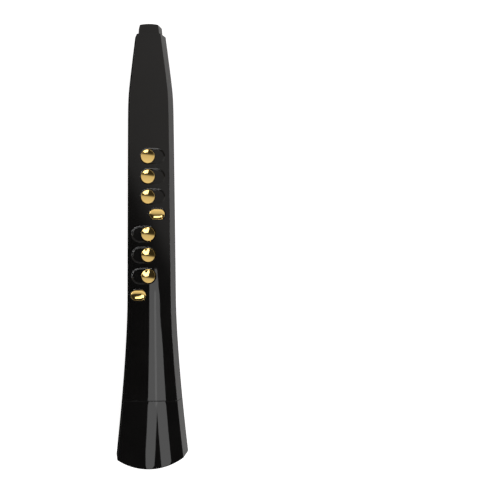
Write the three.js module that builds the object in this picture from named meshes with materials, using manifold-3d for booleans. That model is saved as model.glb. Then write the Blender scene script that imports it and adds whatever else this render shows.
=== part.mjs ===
// Digital wind controller, lying on its back with its keys up.
// Millimetres. +Y runs along the instrument towards the mouthpiece end, +X is to the right of someone
// who looks down on the keys, and +Z is up. The origin is in the middle of the footprint, on the surface
// that the thumb rest and the rim of the bell rest on.
import * as THREE from "three";
import { mergeVertices } from "three/addons/utils/BufferGeometryUtils.js";
import Module from "manifold-3d";

// Lengths of the tenon, of the plain stretch below the last key, and of the bell.
const tenonLength = 10.9;
const tailLength = 110.6;
const bellLength = 71;

// Six-sided section of the body: crowned face, two facets a side that meet at a middle line, flat back.
const bodyWidth = 52.1;
const bodyDepth = 36;
const standOff = 12;
const facetInset = 4;
const edgeSoftening = 0.7;
const crownShare = 0.08;
const wall = 2.2;
const endWall = 2.4;

// The body narrows slowly, then faster above a soft knee, and flares towards the bell.
const bodyTaperShare = 0.0146;
const neckTaperShare = 0.24;
const kneeFromShoulder = 63;
const kneeBlend = 11.5;
const flareLength = 176;
const flareWidth = 27.8;
const flareRise = 3;
const flarePower = 1.5;
const restLand = 14;

// Gaps between pieces, and how far a cutting shape runs past what it cuts.
const clearance = 0.3;
const seatGap = 0.2;
const seamGap = 0.3;
const screwGap = 0.15;
const overrun = 1;
const weldDistance = 0.0001;

// Tenon and its air way.
const tenonSideStep = 3.12;
const tenonTaper = 2;
const tenonFacetInset = 2.6;
const tenonStep = 3.4;
const tenonTipSoftening = 1.2;
const neckDepth = 26;
const neckFlange = 3.4;
const airBoreRadius = 4;
const spigotRadius = 2.6;
const spigotBore = 1.6;
const neckSpigotLength = 10;

// Breath tube and sensor.
const tubeGrip = 9.5;
const tubeWall = 1.3;
const tubeBendShare = 0.125;
const sensorWidth = 12;
const sensorLength = 12;
const sensorHeight = 8;
const sensorFromKnee = 13;
const sensorPortLength = 10;
const sensorPortRise = 4.9;

// Bell: wall, spigot that enters the body, arched rim, and the speaker behind its grille.
const bellWall = 3;
const bellSpigotReach = 10;
const bellSpigotRoot = 6;
const bellSpigotWall = 1.8;
const rimRadius = 64;
const rimOffset = 2;
const grilleFromEnd = 26;
const grilleThickness = 2;
const grilleSlotWidth = 2.4;
const grilleSlotPitch = 5;
const grilleSlotHeight = 27;
const grilleSlots = 7;
const speakerRadius = 18.5;
const speakerFlange = 1.5;
const speakerDepth = 16;
const magnetRadius = 11;
const magnetDepth = 6;
const gasketThickness = 1;
const gasketWidth = 3;

// Front keys: three round ones and an oval one for each hand, in wells sunk in the crowned face.
const keyRadius = 7.15;
const keyRise = 1.3;
const keyDish = 0.5;
const keyDishSideShare = 0.66;
const keyRim = 1.1;
const keyRimFall = 0.7;
const keyFlangeReach = 1.2;
const keyFlange = 1.2;
const keyTravel = 1.2;
const keyLineOffset = -1.3;
const upperKeyPitch = 21.2;
const lowerKeyPitch = 22.05;
const firstKeyFromShoulder = 129.1;
const keysPerHand = 3;
const handGap = 39.1;
const upperSideKeyStep = 9.4;
const lowerSideKeyStep = 10.6;
const upperSideKeyDrop = 18.3;
const lowerSideKeyDrop = 20.2;
const ovalLength = 16;
const ovalWidth = 10.2;
const ovalCrown = 1.1;
const ovalFlangeSetback = 2.4;
// Each pair is how far in a ring of the crown lies, and how much of the crown it still has to climb.
const ovalCrownShares = [[0, 1], [0.06, 0.6], [0.25, 0.25], [0.55, 0.06], [0.8, 0]];
const wellDepth = 2;
const wellRun = 9.4;
const wellMargin = 1.2;
const wellSlope = 0.6;
const ovalWellMargin = 1.1;
const ovalWellDepth = 1.3;

// Silicone domes under the keys, and the board that they stand on.
const domeHeight = 3;
const domeRadius = 2.7;
const domeTopRadius = 1.7;
const domeWall = 0.6;
const boardThickness = 1.6;
const boardInset = 11.45;
const keyBoardMargin = 14;
const keyBoardFoot = 10;
const keyPostInset = 8;
const mainPostInset = 4;

// Screws, their posts and the posts that carry the boards.
const screwShaft = 1.1;
const screwHead = 2.3;
const screwHeadHeight = 1.5;
const screwTopShare = 0.7;
const postRadius = 2.7;
const postRoot = 0.8;
const postReach = 6;
const counterbore = 2;
const casePostInset = 8.45;
const upperPostFromKey = 32;
const lowerPostFromKey = 16.6;
const boardScrewShaft = 0.8;
const boardScrewHead = 1.8;
const boardScrewLength = 3.2;
const boardPostRadius = 2.4;

// Rear controls: octave keys, three small buttons and the lamp's light pipe.
const octaveKeyPitch = 20;
const octaveDomeHeight = 2;
const buttonRadius = 3.6;
const buttonRise = 0.9;
const buttonTopShare = 0.8;
const buttonFlangeReach = 1.1;
const buttonFlange = 1;
const buttonTravel = 0.5;
const buttonPitch = 12;
const buttonStep = 7;
const buttonsFromOctaveKey = 44;
const mainPostFromButtons = 18;
const switchSide = 4.5;
const switchHeight = 1.2;
const switchStem = 1;
const lampRadius = 1.5;
const lampFlange = 0.8;

// Sockets, thumb rest and strap ring.
const socketStep = 6.5;
const leadSocketLength = 9;
const leadSocketWidth = 3.4;
const socketShell = 0.4;
const socketDepth = 4.6;
const leadTongue = 0.7;
const phonesBore = 1.8;
const phonesRadius = 3.4;
const thumbRestWidth = 20;
const thumbRestPlate = 2;
const thumbRestLength = 20;
const thumbRestBlade = 5;
const thumbRestLip = 9;
const thumbRestScrewStep = 6.5;
const thumbRestFromKey = 1;
const lugThickness = 3;
const lugLength = 8;
const lugFromThumbRest = 29;
const lugFlange = 1.4;
const lugFlangeReach = 2.2;
const ringRadius = 7;
const ringWire = 1;
const ringDrop = 5;
const ringLift = 0.15;

// Battery.
const cellRadius = 9.2;
const cellFromBoard = 13;
const cellFromSpigot = 12.6;
const cradleWall = 1.5;
const cradleHeightShare = 0.45;

// Ribbon between the boards.
const ribbonWidth = 10;
const ribbonThickness = 0.4;
const ribbonOverlap = 6;

// How finely the round shapes are cut.
const crownSteps = 8;
const keySteps = 24;
const smallSteps = 8;
const postSteps = 8;
const rimSteps = 96;
const tubeSteps = 10;
const kneeStations = 7;
const flareStations = 9;

// Places that follow from the sizes above.
const keysAbove = (keysPerHand - 1) * (upperKeyPitch + lowerKeyPitch) + handGap;
const lastKeyFromShoulder = firstKeyFromShoulder + keysAbove + lowerSideKeyDrop;
const overallLength = tenonLength + lastKeyFromShoulder + tailLength + bellLength;
const bellEndY = -overallLength / 2;
const tipY = overallLength / 2;
const shoulderY = tipY - tenonLength;
const seamY = bellEndY + bellLength;
const kneeY = shoulderY - kneeFromShoulder;
const flareStartY = bellEndY + flareLength;
const middleZ = standOff + bodyDepth / 2;
const ceilingZ = standOff + bodyDepth - wall;
const floorZ = standOff + wall;
const faceZ = standOff + bodyDepth + crownShare * (bodyWidth / 2 - facetInset);
const tenonMidWidth = 2 * (halfWidthAt(shoulderY) - tenonSideStep);

const keyTopZ = faceZ + keyRise;
const wellFloorZ = faceZ - wellDepth;
const keyFootZ = ceilingZ - clearance - keyFlange;
const keyBoardTopZ = keyFootZ - clearance - domeHeight;
const keyBoardLowZ = keyBoardTopZ - boardThickness;
const octaveFootZ = floorZ + clearance + keyFlange;
const mainBoardLowZ = octaveFootZ + clearance + octaveDomeHeight;
const mainBoardTopZ = mainBoardLowZ + boardThickness;

const upperKeyY = shoulderY - firstKeyFromShoulder;
const upperSideKeyY = upperKeyY - (keysPerHand - 1) * upperKeyPitch - upperSideKeyDrop;
const lowerKeyY = upperKeyY - (keysPerHand - 1) * upperKeyPitch - handGap;
const lowerSideKeyY = lowerKeyY - (keysPerHand - 1) * lowerKeyPitch - lowerSideKeyDrop;
const octaveUpY = upperKeyY;
const octaveDownY = octaveUpY - octaveKeyPitch;
const buttonY = octaveUpY + buttonsFromOctaveKey;
const sensorY = kneeY - sensorFromKnee;
const socketY = lowerSideKeyY;
const thumbRestY = lowerKeyY - thumbRestFromKey;
const lugY = thumbRestY + lugFromThumbRest;
const lugZ = standOff - ringDrop;
const casePostLine = bodyWidth / 2 - casePostInset;
const caseScrewPlaces = [upperKeyY + upperPostFromKey, lowerKeyY, lowerSideKeyY - lowerPostFromKey]
  .flatMap((y) => [[-casePostLine, y], [casePostLine, y]]);

const wasm = await Module();
wasm.setup();

const glossBlack = { color: 0x0d0d0e, roughness: 0.12, metalness: 0 };
const gold = { color: 0xd9a336, roughness: 0.14, metalness: 1 };
const satinBlack = { color: 0x17171a, roughness: 0.5, metalness: 0 };
const steel = { color: 0xb8babd, roughness: 0.3, metalness: 1 };
const darkSteel = { color: 0x3b3c3f, roughness: 0.4, metalness: 0.9 };
const silicone = { color: 0xcfcfc8, roughness: 0.7, metalness: 0 };
const boardGreen = { color: 0x1d5a34, roughness: 0.5, metalness: 0.1 };
const clearPipe = { color: 0xdfe9ee, roughness: 0.1, metalness: 0 };
const cellWrap = { color: 0x2f5f9a, roughness: 0.45, metalness: 0 };
const foam = { color: 0x2a2a2a, roughness: 0.95, metalness: 0 };

const part = new THREE.Group();

// Turns a closed three.js geometry into a solid, with its faces outwards.
function solid(geometry) {
  const bare = geometry.clone();
  bare.deleteAttribute("normal");
  bare.deleteAttribute("uv");
  const merged = mergeVertices(bare, weldDistance);
  const points = merged.attributes.position;
  const a = new THREE.Vector3();
  const b = new THREE.Vector3();
  const c = new THREE.Vector3();
  const corners = [];
  let volume = 0;
  for (let i = 0; i < merged.index.count; i += 3) {
    const [p, q, r] = merged.index.array.slice(i, i + 3);
    if (p === q || q === r || r === p) continue;
    corners.push(p, q, r);
    a.fromBufferAttribute(points, p);
    b.fromBufferAttribute(points, q);
    c.fromBufferAttribute(points, r);
    volume += a.dot(b.cross(c));
  }
  if (volume < 0) corners.reverse();
  return new wasm.Manifold(new wasm.Mesh({
    numProp: 3,
    vertProperties: new Float32Array(points.array),
    triVerts: new Uint32Array(corners),
  }));
}

// Turns a solid back into a geometry that a mesh can draw.
function geometryOf(made) {
  const { numProp, vertProperties, triVerts } = made.getMesh();
  const corners = Array.from(triVerts, (v) => [
    vertProperties[v * numProp],
    vertProperties[v * numProp + 1],
    vertProperties[v * numProp + 2],
  ]);
  const geometry = new THREE.BufferGeometry();
  geometry.setAttribute("position", new THREE.Float32BufferAttribute(corners.flat(), 3));
  geometry.computeVertexNormals();
  return geometry;
}

// Adds a named piece to the part, where its geometry is or moved to a place.
function addPiece(name, made, finish, place = [0, 0, 0], faceDown = false) {
  const mesh = new THREE.Mesh(geometryOf(made), new THREE.MeshStandardMaterial(finish));
  mesh.name = name;
  mesh.position.set(...place);
  if (faceDown) mesh.rotation.x = Math.PI;
  part.add(mesh);
}

// A closed skin over rings of points that all have the same number of points.
function loft(rings) {
  const count = rings[0].length;
  const last = (rings.length - 1) * count;
  const index = [];
  for (let ring = 0; ring < last; ring += count) {
    for (let i = 0; i < count; i += 1) {
      const here = ring + i;
      const next = ring + ((i + 1) % count);
      index.push(here, next, here + count, next, next + count, here + count);
    }
  }
  for (let i = 1; i + 1 < count; i += 1) {
    index.push(0, i + 1, i, last, last + i, last + i + 1);
  }
  const geometry = new THREE.BufferGeometry();
  geometry.setAttribute("position", new THREE.Float32BufferAttribute(rings.flat(2), 3));
  geometry.setIndex(index);
  return solid(geometry);
}

function block([x0, x1], [y0, y1], [z0, z1]) {
  const box = new THREE.BoxGeometry(x1 - x0, y1 - y0, z1 - z0);
  box.translate((x0 + x1) / 2, (y0 + y1) / 2, (z0 + z1) / 2);
  return solid(box);
}

// A round bar that stands along Z at a place, from one height to another.
function rod(radius, [z0, z1], [x, y] = [0, 0], steps = postSteps) {
  const bar = new THREE.CylinderGeometry(radius, radius, z1 - z0, steps);
  bar.rotateX(Math.PI / 2);
  bar.translate(x, y, (z0 + z1) / 2);
  return solid(bar);
}

// A round bar that lies along Y.
function lyingRod(radius, [y0, y1], [x, z], steps = postSteps) {
  const bar = new THREE.CylinderGeometry(radius, radius, y1 - y0, steps);
  bar.translate(x, (y0 + y1) / 2, z);
  return solid(bar);
}

// A turned piece that stands along Z, from a profile of [radius, height] points.
function turned(profile, steps) {
  const points = profile.map(([r, z]) => new THREE.Vector2(r, z));
  const lathe = new THREE.LatheGeometry(points, steps);
  lathe.rotateX(Math.PI / 2);
  return solid(lathe);
}

// Points of a slot with round ends that runs along X, at one height.
function slotRing(straight, radius, z, [x, y] = [0, 0], steps = keySteps) {
  return Array.from({ length: steps }, (unused, i) => {
    const half = Math.floor(i / (steps / 2));
    const turn = ((i - half * (steps / 2)) / (steps / 2 - 1)) * Math.PI - Math.PI / 2 + half * Math.PI;
    const end = half ? -straight : straight;
    return [x + end + radius * Math.cos(turn), y + radius * Math.sin(turn), z];
  });
}

// Sweeps an outline drawn in Y and Z across the instrument.
function acrossX(outline, width) {
  const swept = new THREE.ExtrudeGeometry(outline, { depth: width, bevelEnabled: false });
  swept.applyMatrix4(new THREE.Matrix4().makeBasis(
    new THREE.Vector3(0, 1, 0),
    new THREE.Vector3(0, 0, 1),
    new THREE.Vector3(1, 0, 0),
  ));
  swept.translate(-width / 2, 0, 0);
  return solid(swept);
}

// How far the flare has grown at a place along the instrument: 0 on the straight body, 1 at the rim.
function flareAt(y, length) {
  return y < flareStartY ? ((flareStartY - y) / length) ** flarePower : 0;
}

function halfWidthAt(y) {
  const aboveKnee = y - kneeY;
  const knee = (aboveKnee + Math.hypot(aboveKnee, kneeBlend)) / 2;
  const slowTaper = bodyTaperShare * Math.max(0, y - flareStartY);
  const flare = flareWidth * flareAt(y, flareLength);
  return (bodyWidth - slowTaper - neckTaperShare * knee + flare) / 2;
}

function frontAt(y) {
  return standOff + bodyDepth + flareRise * flareAt(y, flareLength);
}

function backAt(y) {
  return standOff * (1 - Math.min(1, flareAt(y, flareLength - restLand)));
}

// The inner surfaces of the case, above its back and under its face.
function floorAt(y) {
  return backAt(y) + wall;
}

function ceilingAt(y) {
  return frontAt(y) - wall;
}

// One six-sided ring, with a crowned face of so many steps and softened corners.
function hexRing(y, { mid, face, front, back, steps, softening }) {
  const frontSlope = (mid - face) / (front - middleZ);
  const backSlope = (mid - face) / (middleZ - back);
  const crownEdge = face - softening;
  const crown = steps > 1 ? crownShare * face : 0;
  const arch = Array.from({ length: steps + 1 }, (unused, i) => {
    const x = crownEdge * (1 - (2 * i) / steps);
    return [x, front + crown * (1 - (x / face) ** 2)];
  });
  const frontCorner = [face + softening * frontSlope, front - softening];
  const backCorner = [face + softening * backSlope, back + softening];
  const right = softening ? [backCorner, [mid, middleZ], frontCorner] : [[mid, middleZ]];
  const left = right.map(([x, z]) => [-x, z]).reverse();
  const below = [[-crownEdge, back], [crownEdge, back]];
  return [...right, ...arch, ...left, ...below].map(([x, z]) => [x, y, z]);
}

// The solid inside the body's surface, moved in by an inset, between two places along it.
function bodySolid(inset, [low, high], steps = 1, softening = 0) {
  const kneeMarks = Array.from({ length: kneeStations }, (unused, i) => {
    const start = kneeY - 2 * kneeBlend;
    return start + ((shoulderY - start) * i) / kneeStations;
  });
  const flareMarks = Array.from({ length: flareStations }, (unused, i) =>
    bellEndY + (flareLength * (i + 1)) / flareStations);
  const landMark = bellEndY + restLand;
  const marks = [...flareMarks, landMark, ...kneeMarks].filter((y) => y > low && y < high);
  marks.sort((a, b) => a - b);
  return loft([low, ...marks, high].map((y) => hexRing(y, {
    mid: halfWidthAt(y) - inset,
    face: halfWidthAt(y) - inset - facetInset,
    front: frontAt(y) - inset,
    back: backAt(y) + inset,
    steps,
    softening,
  })));
}

// The tenon's own six-sided solid, grown by an amount, between two places along it.
function tenonSolid(growth, [low, high], tipInset = 0) {
  const ringAt = (y, inset) => {
    const share = (y - shoulderY) / tenonLength;
    const mid = (tenonMidWidth - tenonTaper * share) / 2 + growth - inset;
    return hexRing(y, {
      mid,
      face: mid - tenonFacetInset,
      front: standOff + bodyDepth - tenonStep + growth - inset,
      back: standOff + tenonStep - growth + inset,
      steps: crownSteps,
      softening: edgeSoftening,
    });
  };
  return loft([ringAt(low, 0), ringAt(high - tipInset, 0), ringAt(high, tipInset)]);
}

// Where each front key stands, which way its well runs, and its name.
const roundKeys = [];
for (let i = 0; i < keysPerHand; i += 1) {
  const upperPlace = [keyLineOffset, upperKeyY - i * upperKeyPitch];
  const lowerPlace = [keyLineOffset, lowerKeyY - i * lowerKeyPitch];
  roundKeys.push({ name: `upper_key_${i + 1}`, place: upperPlace, run: wellRun });
  roundKeys.push({ name: `lower_key_${i + 1}`, place: lowerPlace, run: -wellRun });
}
const sideKeys = [
  { name: "upper_side_key", place: [keyLineOffset + upperSideKeyStep, upperSideKeyY] },
  { name: "lower_side_key", place: [keyLineOffset - lowerSideKeyStep, lowerSideKeyY] },
];
const ovalStraight = (ovalLength - ovalWidth) / 2;
const ovalRadius = ovalWidth / 2;
const octavePlaces = { octave_up_key: [0, octaveUpY], octave_down_key: [0, octaveDownY] };
const buttonPlaces = {
  power_button: [-buttonStep, buttonY],
  volume_up_button: [buttonStep, buttonY + buttonPitch / 2],
  volume_down_button: [buttonStep, buttonY - buttonPitch / 2],
};
const lampPlace = [-buttonStep, buttonY + buttonPitch];
const boardSide = [boardInset - bodyWidth / 2, bodyWidth / 2 - boardInset];
const boardPostPlaces = [
  [0, upperKeyY + keyBoardMargin],
  [boardSide[1] - keyPostInset, lowerSideKeyY + ovalRadius / 2],
];
const mainPostPlaces = [
  [0, buttonY - mainPostFromButtons],
  [boardSide[0] + mainPostInset, lowerSideKeyY + ovalWidth],
];

// Case: the hollow body, cut in two at its middle line, each half with its posts.
const hollowBody = bodySolid(0, [seamY + seamGap / 2, shoulderY], crownSteps, edgeSoftening)
  .subtract(bodySolid(wall, [seamY - overrun, shoulderY - endWall]))
  .subtract(tenonSolid(clearance, [shoulderY - endWall - overrun, shoulderY + overrun]));
const sideways = [-overallLength / 2, overallLength / 2];
const lengthways = [-overallLength, overallLength];
const aboveMiddle = block(sideways, lengthways, [middleZ + seatGap / 2, middleZ + overallLength]);
const belowMiddle = block(sideways, lengthways, [middleZ - overallLength, middleZ - seatGap / 2]);
const insideBody = bodySolid(wall / 2, [seamY + overrun, shoulderY - endWall]);

function frontShell() {
  let shell = hollowBody.intersect(aboveMiddle);
  const splitZ = middleZ - postReach;
  for (const place of caseScrewPlaces) {
    const post = rod(postRadius, [splitZ, ceilingAt(place[1]) + postRoot], place).intersect(insideBody);
    const hole = rod(screwShaft + screwGap, [splitZ - overrun, middleZ + postReach], place);
    shell = shell.add(post).subtract(hole);
  }
  for (const place of boardPostPlaces) {
    const low = keyBoardTopZ + seatGap;
    shell = shell.add(rod(boardPostRadius, [low, ceilingZ + postRoot], place));
    shell = shell.subtract(rod(boardScrewShaft + screwGap, [low - overrun, ceilingZ - clearance], place));
  }
  for (const { place: [x, y], run } of roundKeys) {
    const middle = [x + run / 2, y];
    const straight = wellRun / 2;
    const lowRadius = keyRadius + wellMargin - wellSlope;
    const highZ = keyTopZ + overrun;
    const highRadius = lowRadius + (wellSlope * (highZ - wellFloorZ)) / wellDepth;
    shell = shell.subtract(loft([
      slotRing(straight, lowRadius, wellFloorZ, middle),
      slotRing(straight, highRadius, highZ, middle),
    ]));
    shell = shell.subtract(rod(keyRadius + clearance, [ceilingZ - overrun, faceZ], [x, y], keySteps));
  }
  for (const { place } of sideKeys) {
    const holeRadius = ovalRadius + clearance;
    const low = keyFootZ - keyTravel - clearance;
    shell = shell.subtract(loft([
      slotRing(ovalStraight, holeRadius, low, place),
      slotRing(ovalStraight, holeRadius, faceZ, place),
    ]));
    shell = shell.subtract(loft([
      slotRing(ovalStraight, ovalRadius + ovalWellMargin, faceZ - ovalWellDepth, place),
      slotRing(ovalStraight, ovalRadius + ovalWellMargin, keyTopZ, place),
    ]));
  }
  return shell;
}

function rearShell() {
  let shell = hollowBody.intersect(belowMiddle);
  const sleeveTopZ = middleZ - postReach - clearance;
  for (const place of caseScrewPlaces) {
    const root = floorAt(place[1]) - postRoot;
    const sleeve = rod(postRadius, [root, sleeveTopZ], place).intersect(insideBody);
    shell = shell.add(sleeve)
      .subtract(rod(screwShaft + screwGap, [-overrun, sleeveTopZ + overrun], place))
      .subtract(rod(screwHead + screwGap, [-overrun, backAt(place[1]) + counterbore], place));
  }
  for (const place of mainPostPlaces) {
    const high = mainBoardLowZ - seatGap;
    shell = shell.add(rod(boardPostRadius, [floorAt(place[1]) - postRoot, high], place));
    shell = shell.subtract(rod(boardScrewShaft + screwGap, [floorZ, high + overrun], place));
  }
  for (const x of [-thumbRestScrewStep, thumbRestScrewStep]) {
    const place = [x, thumbRestY];
    shell = shell.add(rod(postRadius, [floorZ - postRoot, mainBoardLowZ - clearance], place));
    shell = shell.subtract(rod(screwShaft + screwGap, [0, mainBoardLowZ], place));
  }
  for (const place of Object.values(octavePlaces)) {
    const holeRadius = ovalRadius + clearance;
    shell = shell.subtract(loft([
      slotRing(ovalStraight, holeRadius, standOff - overrun, place),
      slotRing(ovalStraight, holeRadius, floorZ + overrun, place),
    ]));
  }
  const throughFloor = [standOff - overrun, floorZ + overrun];
  for (const place of Object.values(buttonPlaces)) {
    shell = shell.subtract(rod(buttonRadius + clearance, throughFloor, place, keySteps));
  }
  shell = shell.subtract(rod(lampRadius + clearance, throughFloor, lampPlace));
  const leadRadius = leadSocketWidth / 2 + clearance;
  const leadStraight = (leadSocketLength - leadSocketWidth) / 2;
  shell = shell.subtract(loft(throughFloor.map((z) =>
    slotRing(leadStraight, leadRadius, z, [-socketStep, socketY]))));
  shell = shell.subtract(rod(phonesRadius + clearance, throughFloor, [socketStep, socketY], keySteps));
  const slotX = lugThickness / 2 + clearance;
  const slotY = lugLength / 2 + clearance;
  return shell.subtract(block([-slotX, slotX], [lugY - slotY, lugY + slotY], throughFloor));
}

// Neck: the tenon, a flange trapped behind the end wall, a spigot for the breath tube and the air bore.
function neckTenon() {
  const innerY = shoulderY - neckDepth;
  const flangeHigh = shoulderY - endWall - clearance;
  return tenonSolid(0, [innerY, tipY], tenonTipSoftening)
    .add(bodySolid(wall + clearance, [flangeHigh - neckFlange, flangeHigh]))
    .add(lyingRod(spigotRadius, [innerY - neckSpigotLength, innerY + overrun], [0, middleZ]))
    .subtract(lyingRod(airBoreRadius, [innerY + neckFlange, tipY + overrun], [0, middleZ], keySteps))
    .subtract(lyingRod(spigotBore, [innerY - neckSpigotLength - overrun, tipY], [0, middleZ]));
}

// Bell: flared shell with an arched rim, and the spigot that slides into the body.
function bellShell() {
  const outer = bodySolid(0, [bellEndY - overrun, seamY - seamGap / 2], crownSteps, edgeSoftening);
  const inner = bodySolid(bellWall, [bellEndY - 2 * overrun, seamY + overrun], crownSteps, edgeSoftening);
  const rim = rod(
    rimRadius,
    [-overrun, standOff + bodyDepth * 2],
    [-rimOffset, bellEndY + rimRadius],
    rimSteps,
  );
  const spigotSpan = [seamY - bellSpigotRoot, seamY + bellSpigotReach];
  const spigotHollow = [seamY - bellSpigotRoot - overrun, seamY + bellSpigotReach + overrun];
  const spigot = bodySolid(wall + clearance, spigotSpan)
    .subtract(bodySolid(wall + clearance + bellSpigotWall, spigotHollow));
  return outer.intersect(rim).subtract(inner).add(spigot);
}

addPiece("front_shell", frontShell(), glossBlack);
addPiece("rear_shell", rearShell(), glossBlack);
addPiece("bell_shell", bellShell(), glossBlack);
addPiece("neck_tenon", neckTenon(), glossBlack);

// Breath way: soft tube from the neck's spigot down to the sensor on the main board.
const sensorEndY = sensorY + sensorLength / 2;
const sensorPortZ = mainBoardTopZ + sensorPortRise;
const sensorLowZ = mainBoardTopZ + seatGap;
const sensorBody = block(
  [-sensorWidth / 2, sensorWidth / 2],
  [sensorY - sensorLength / 2, sensorEndY],
  [sensorLowZ, sensorLowZ + sensorHeight],
);
const sensorPort = lyingRod(spigotRadius, [sensorY, sensorEndY + sensorPortLength], [0, sensorPortZ]);
addPiece("breath_sensor", sensorBody.add(sensorPort), satinBlack);

function breathTube() {
  const highY = shoulderY - neckDepth - clearance;
  const lowY = sensorEndY + clearance;
  const bend = (highY - lowY) / 2 - tubeGrip / 2;
  const tubeFall = middleZ - sensorPortZ;
  const path = new THREE.CatmullRomCurve3([
    new THREE.Vector3(0, highY, middleZ),
    new THREE.Vector3(0, highY - tubeGrip, middleZ),
    new THREE.Vector3(0, highY - bend, middleZ - tubeFall * tubeBendShare),
    new THREE.Vector3(0, lowY + bend, sensorPortZ + tubeFall * tubeBendShare),
    new THREE.Vector3(0, lowY + tubeGrip, sensorPortZ),
    new THREE.Vector3(0, lowY, sensorPortZ),
  ]);
  const bore = spigotRadius + clearance;
  const section = new THREE.Shape().absarc(0, 0, bore + tubeWall, 0, 2 * Math.PI);
  section.holes.push(new THREE.Path().absarc(0, 0, bore, 0, 2 * Math.PI, true));
  return solid(new THREE.ExtrudeGeometry(section, {
    steps: tubeSteps,
    curveSegments: smallSteps / 2,
    extrudePath: path,
  }));
}
addPiece("breath_tube", breathTube(), silicone);

// Boards, each on its screws, and the ribbon that folds from one to the other.
const keyBoardEnds = [lowerSideKeyY - keyBoardFoot, upperKeyY + keyBoardMargin + keyBoardFoot];
const mainBoardEnds = [socketY - keyBoardFoot, sensorEndY + overrun];

function drilledBoard(ends, lowZ, places) {
  let board = block(boardSide, ends, [lowZ, lowZ + boardThickness]);
  for (const place of places) {
    const through = [lowZ - overrun, lowZ + boardThickness + overrun];
    board = board.subtract(rod(boardScrewShaft + screwGap, through, place));
  }
  return board;
}
addPiece("key_board", drilledBoard(keyBoardEnds, keyBoardLowZ, boardPostPlaces), boardGreen);
addPiece("main_board", drilledBoard(mainBoardEnds, mainBoardLowZ, mainPostPlaces), boardGreen);

function boardRibbon() {
  const highZ = keyBoardLowZ - seatGap;
  const lowZ = mainBoardTopZ + seatGap;
  const startY = Math.min(keyBoardEnds[0], mainBoardEnds[0]);
  const radius = (highZ - lowZ) / 2;
  const middle = (highZ + lowZ) / 2;
  const outline = new THREE.Shape();
  outline.moveTo(startY + ribbonOverlap, highZ);
  outline.lineTo(startY, highZ);
  outline.absellipse(startY, middle, radius, radius, Math.PI / 2, (3 * Math.PI) / 2);
  outline.lineTo(startY + ribbonOverlap, lowZ);
  outline.lineTo(startY + ribbonOverlap, lowZ + ribbonThickness);
  outline.lineTo(startY, lowZ + ribbonThickness);
  const inner = radius - ribbonThickness;
  outline.absellipse(startY, middle, inner, inner, (3 * Math.PI) / 2, Math.PI / 2, true);
  outline.lineTo(startY + ribbonOverlap, highZ - ribbonThickness);
  return acrossX(outline, ribbonWidth);
}
addPiece("board_ribbon", boardRibbon(), satinBlack);

// Front keys. A round cap has a dished top inside a rolled rim, and a flange that stops it under the face.
const keyHeight = keyTopZ - keyFootZ;
const roundKey = turned([
  [0, 0],
  [keyRadius + keyFlangeReach, 0],
  [keyRadius + keyFlangeReach, keyFlange],
  [keyRadius, keyFlange],
  [keyRadius, keyHeight - keyRimFall],
  [keyRadius - keyRimFall / 2, keyHeight - keyRimFall / 4],
  [keyRadius - keyRim, keyHeight],
  [keyRadius - keyRim * 2, keyHeight - keyDish / 3],
  [keyRadius / 2, keyHeight - keyDish * keyDishSideShare],
  [0, keyHeight - keyDish],
], keySteps);

// An oval key is domed, and its flange reaches out along the instrument only.
function ovalKey(height) {
  const flangeX = ovalLength / 2 - ovalFlangeSetback;
  const flangeY = ovalRadius + keyFlangeReach + clearance;
  const rings = ovalCrownShares.map(([inShare, fallShare]) =>
    slotRing(ovalStraight, ovalRadius * (1 - inShare), height - ovalCrown * fallShare));
  return loft([slotRing(ovalStraight, ovalRadius, 0), ...rings])
    .add(block([-flangeX, flangeX], [-flangeY, flangeY], [0, keyFlange]));
}

// A dome is a thin silicone cup that stands open end down on its board.
function siliconeDome(height) {
  return turned([
    [0, height],
    [domeTopRadius, height],
    [domeRadius, domeWall],
    [domeRadius, 0],
    [domeRadius - domeWall, 0],
    [domeTopRadius - domeWall, height - domeWall],
    [0, height - domeWall],
  ], smallSteps);
}

const frontKeys = [...roundKeys, ...sideKeys];
for (const { name, place } of frontKeys) {
  const cap = name.includes("side") ? ovalKey(keyHeight) : roundKey;
  addPiece(name, cap, gold, [...place, keyFootZ]);
  addPiece(`${name}_dome`, siliconeDome(domeHeight), silicone, [...place, keyBoardTopZ]);
}

// Octave keys, the same oval shape, face down through the rear shell.
for (const [name, place] of Object.entries(octavePlaces)) {
  addPiece(name, ovalKey(octaveFootZ - standOff + keyRise), gold, [...place, octaveFootZ], true);
  addPiece(`${name}_dome`, siliconeDome(octaveDomeHeight), silicone, [...place, mainBoardLowZ], true);
}

// Three small buttons, each over its own switch on the underside of the main board.
const buttonFootZ = floorZ + clearance + buttonFlange;
const buttonHeight = buttonFootZ - standOff + buttonRise;
const buttonCap = turned([
  [0, 0],
  [buttonRadius + buttonFlangeReach, 0],
  [buttonRadius + buttonFlangeReach, buttonFlange],
  [buttonRadius, buttonFlange],
  [buttonRadius, buttonHeight - buttonRise / 2],
  [buttonRadius * buttonTopShare, buttonHeight - buttonRise / 8],
  [0, buttonHeight],
], keySteps);
const switchLowZ = mainBoardLowZ - switchHeight;
for (const [name, [x, y]] of Object.entries(buttonPlaces)) {
  addPiece(name, buttonCap, satinBlack, [x, y, buttonFootZ], true);
  const half = switchSide / 2;
  const housing = block([x - half, x + half], [y - half, y + half], [switchLowZ, mainBoardLowZ]);
  const stem = rod(switchStem, [buttonFootZ + buttonTravel + screwGap, mainBoardLowZ], [x, y], smallSteps);
  addPiece(name.replace("button", "switch"), housing.add(stem), darkSteel);
}

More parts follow.
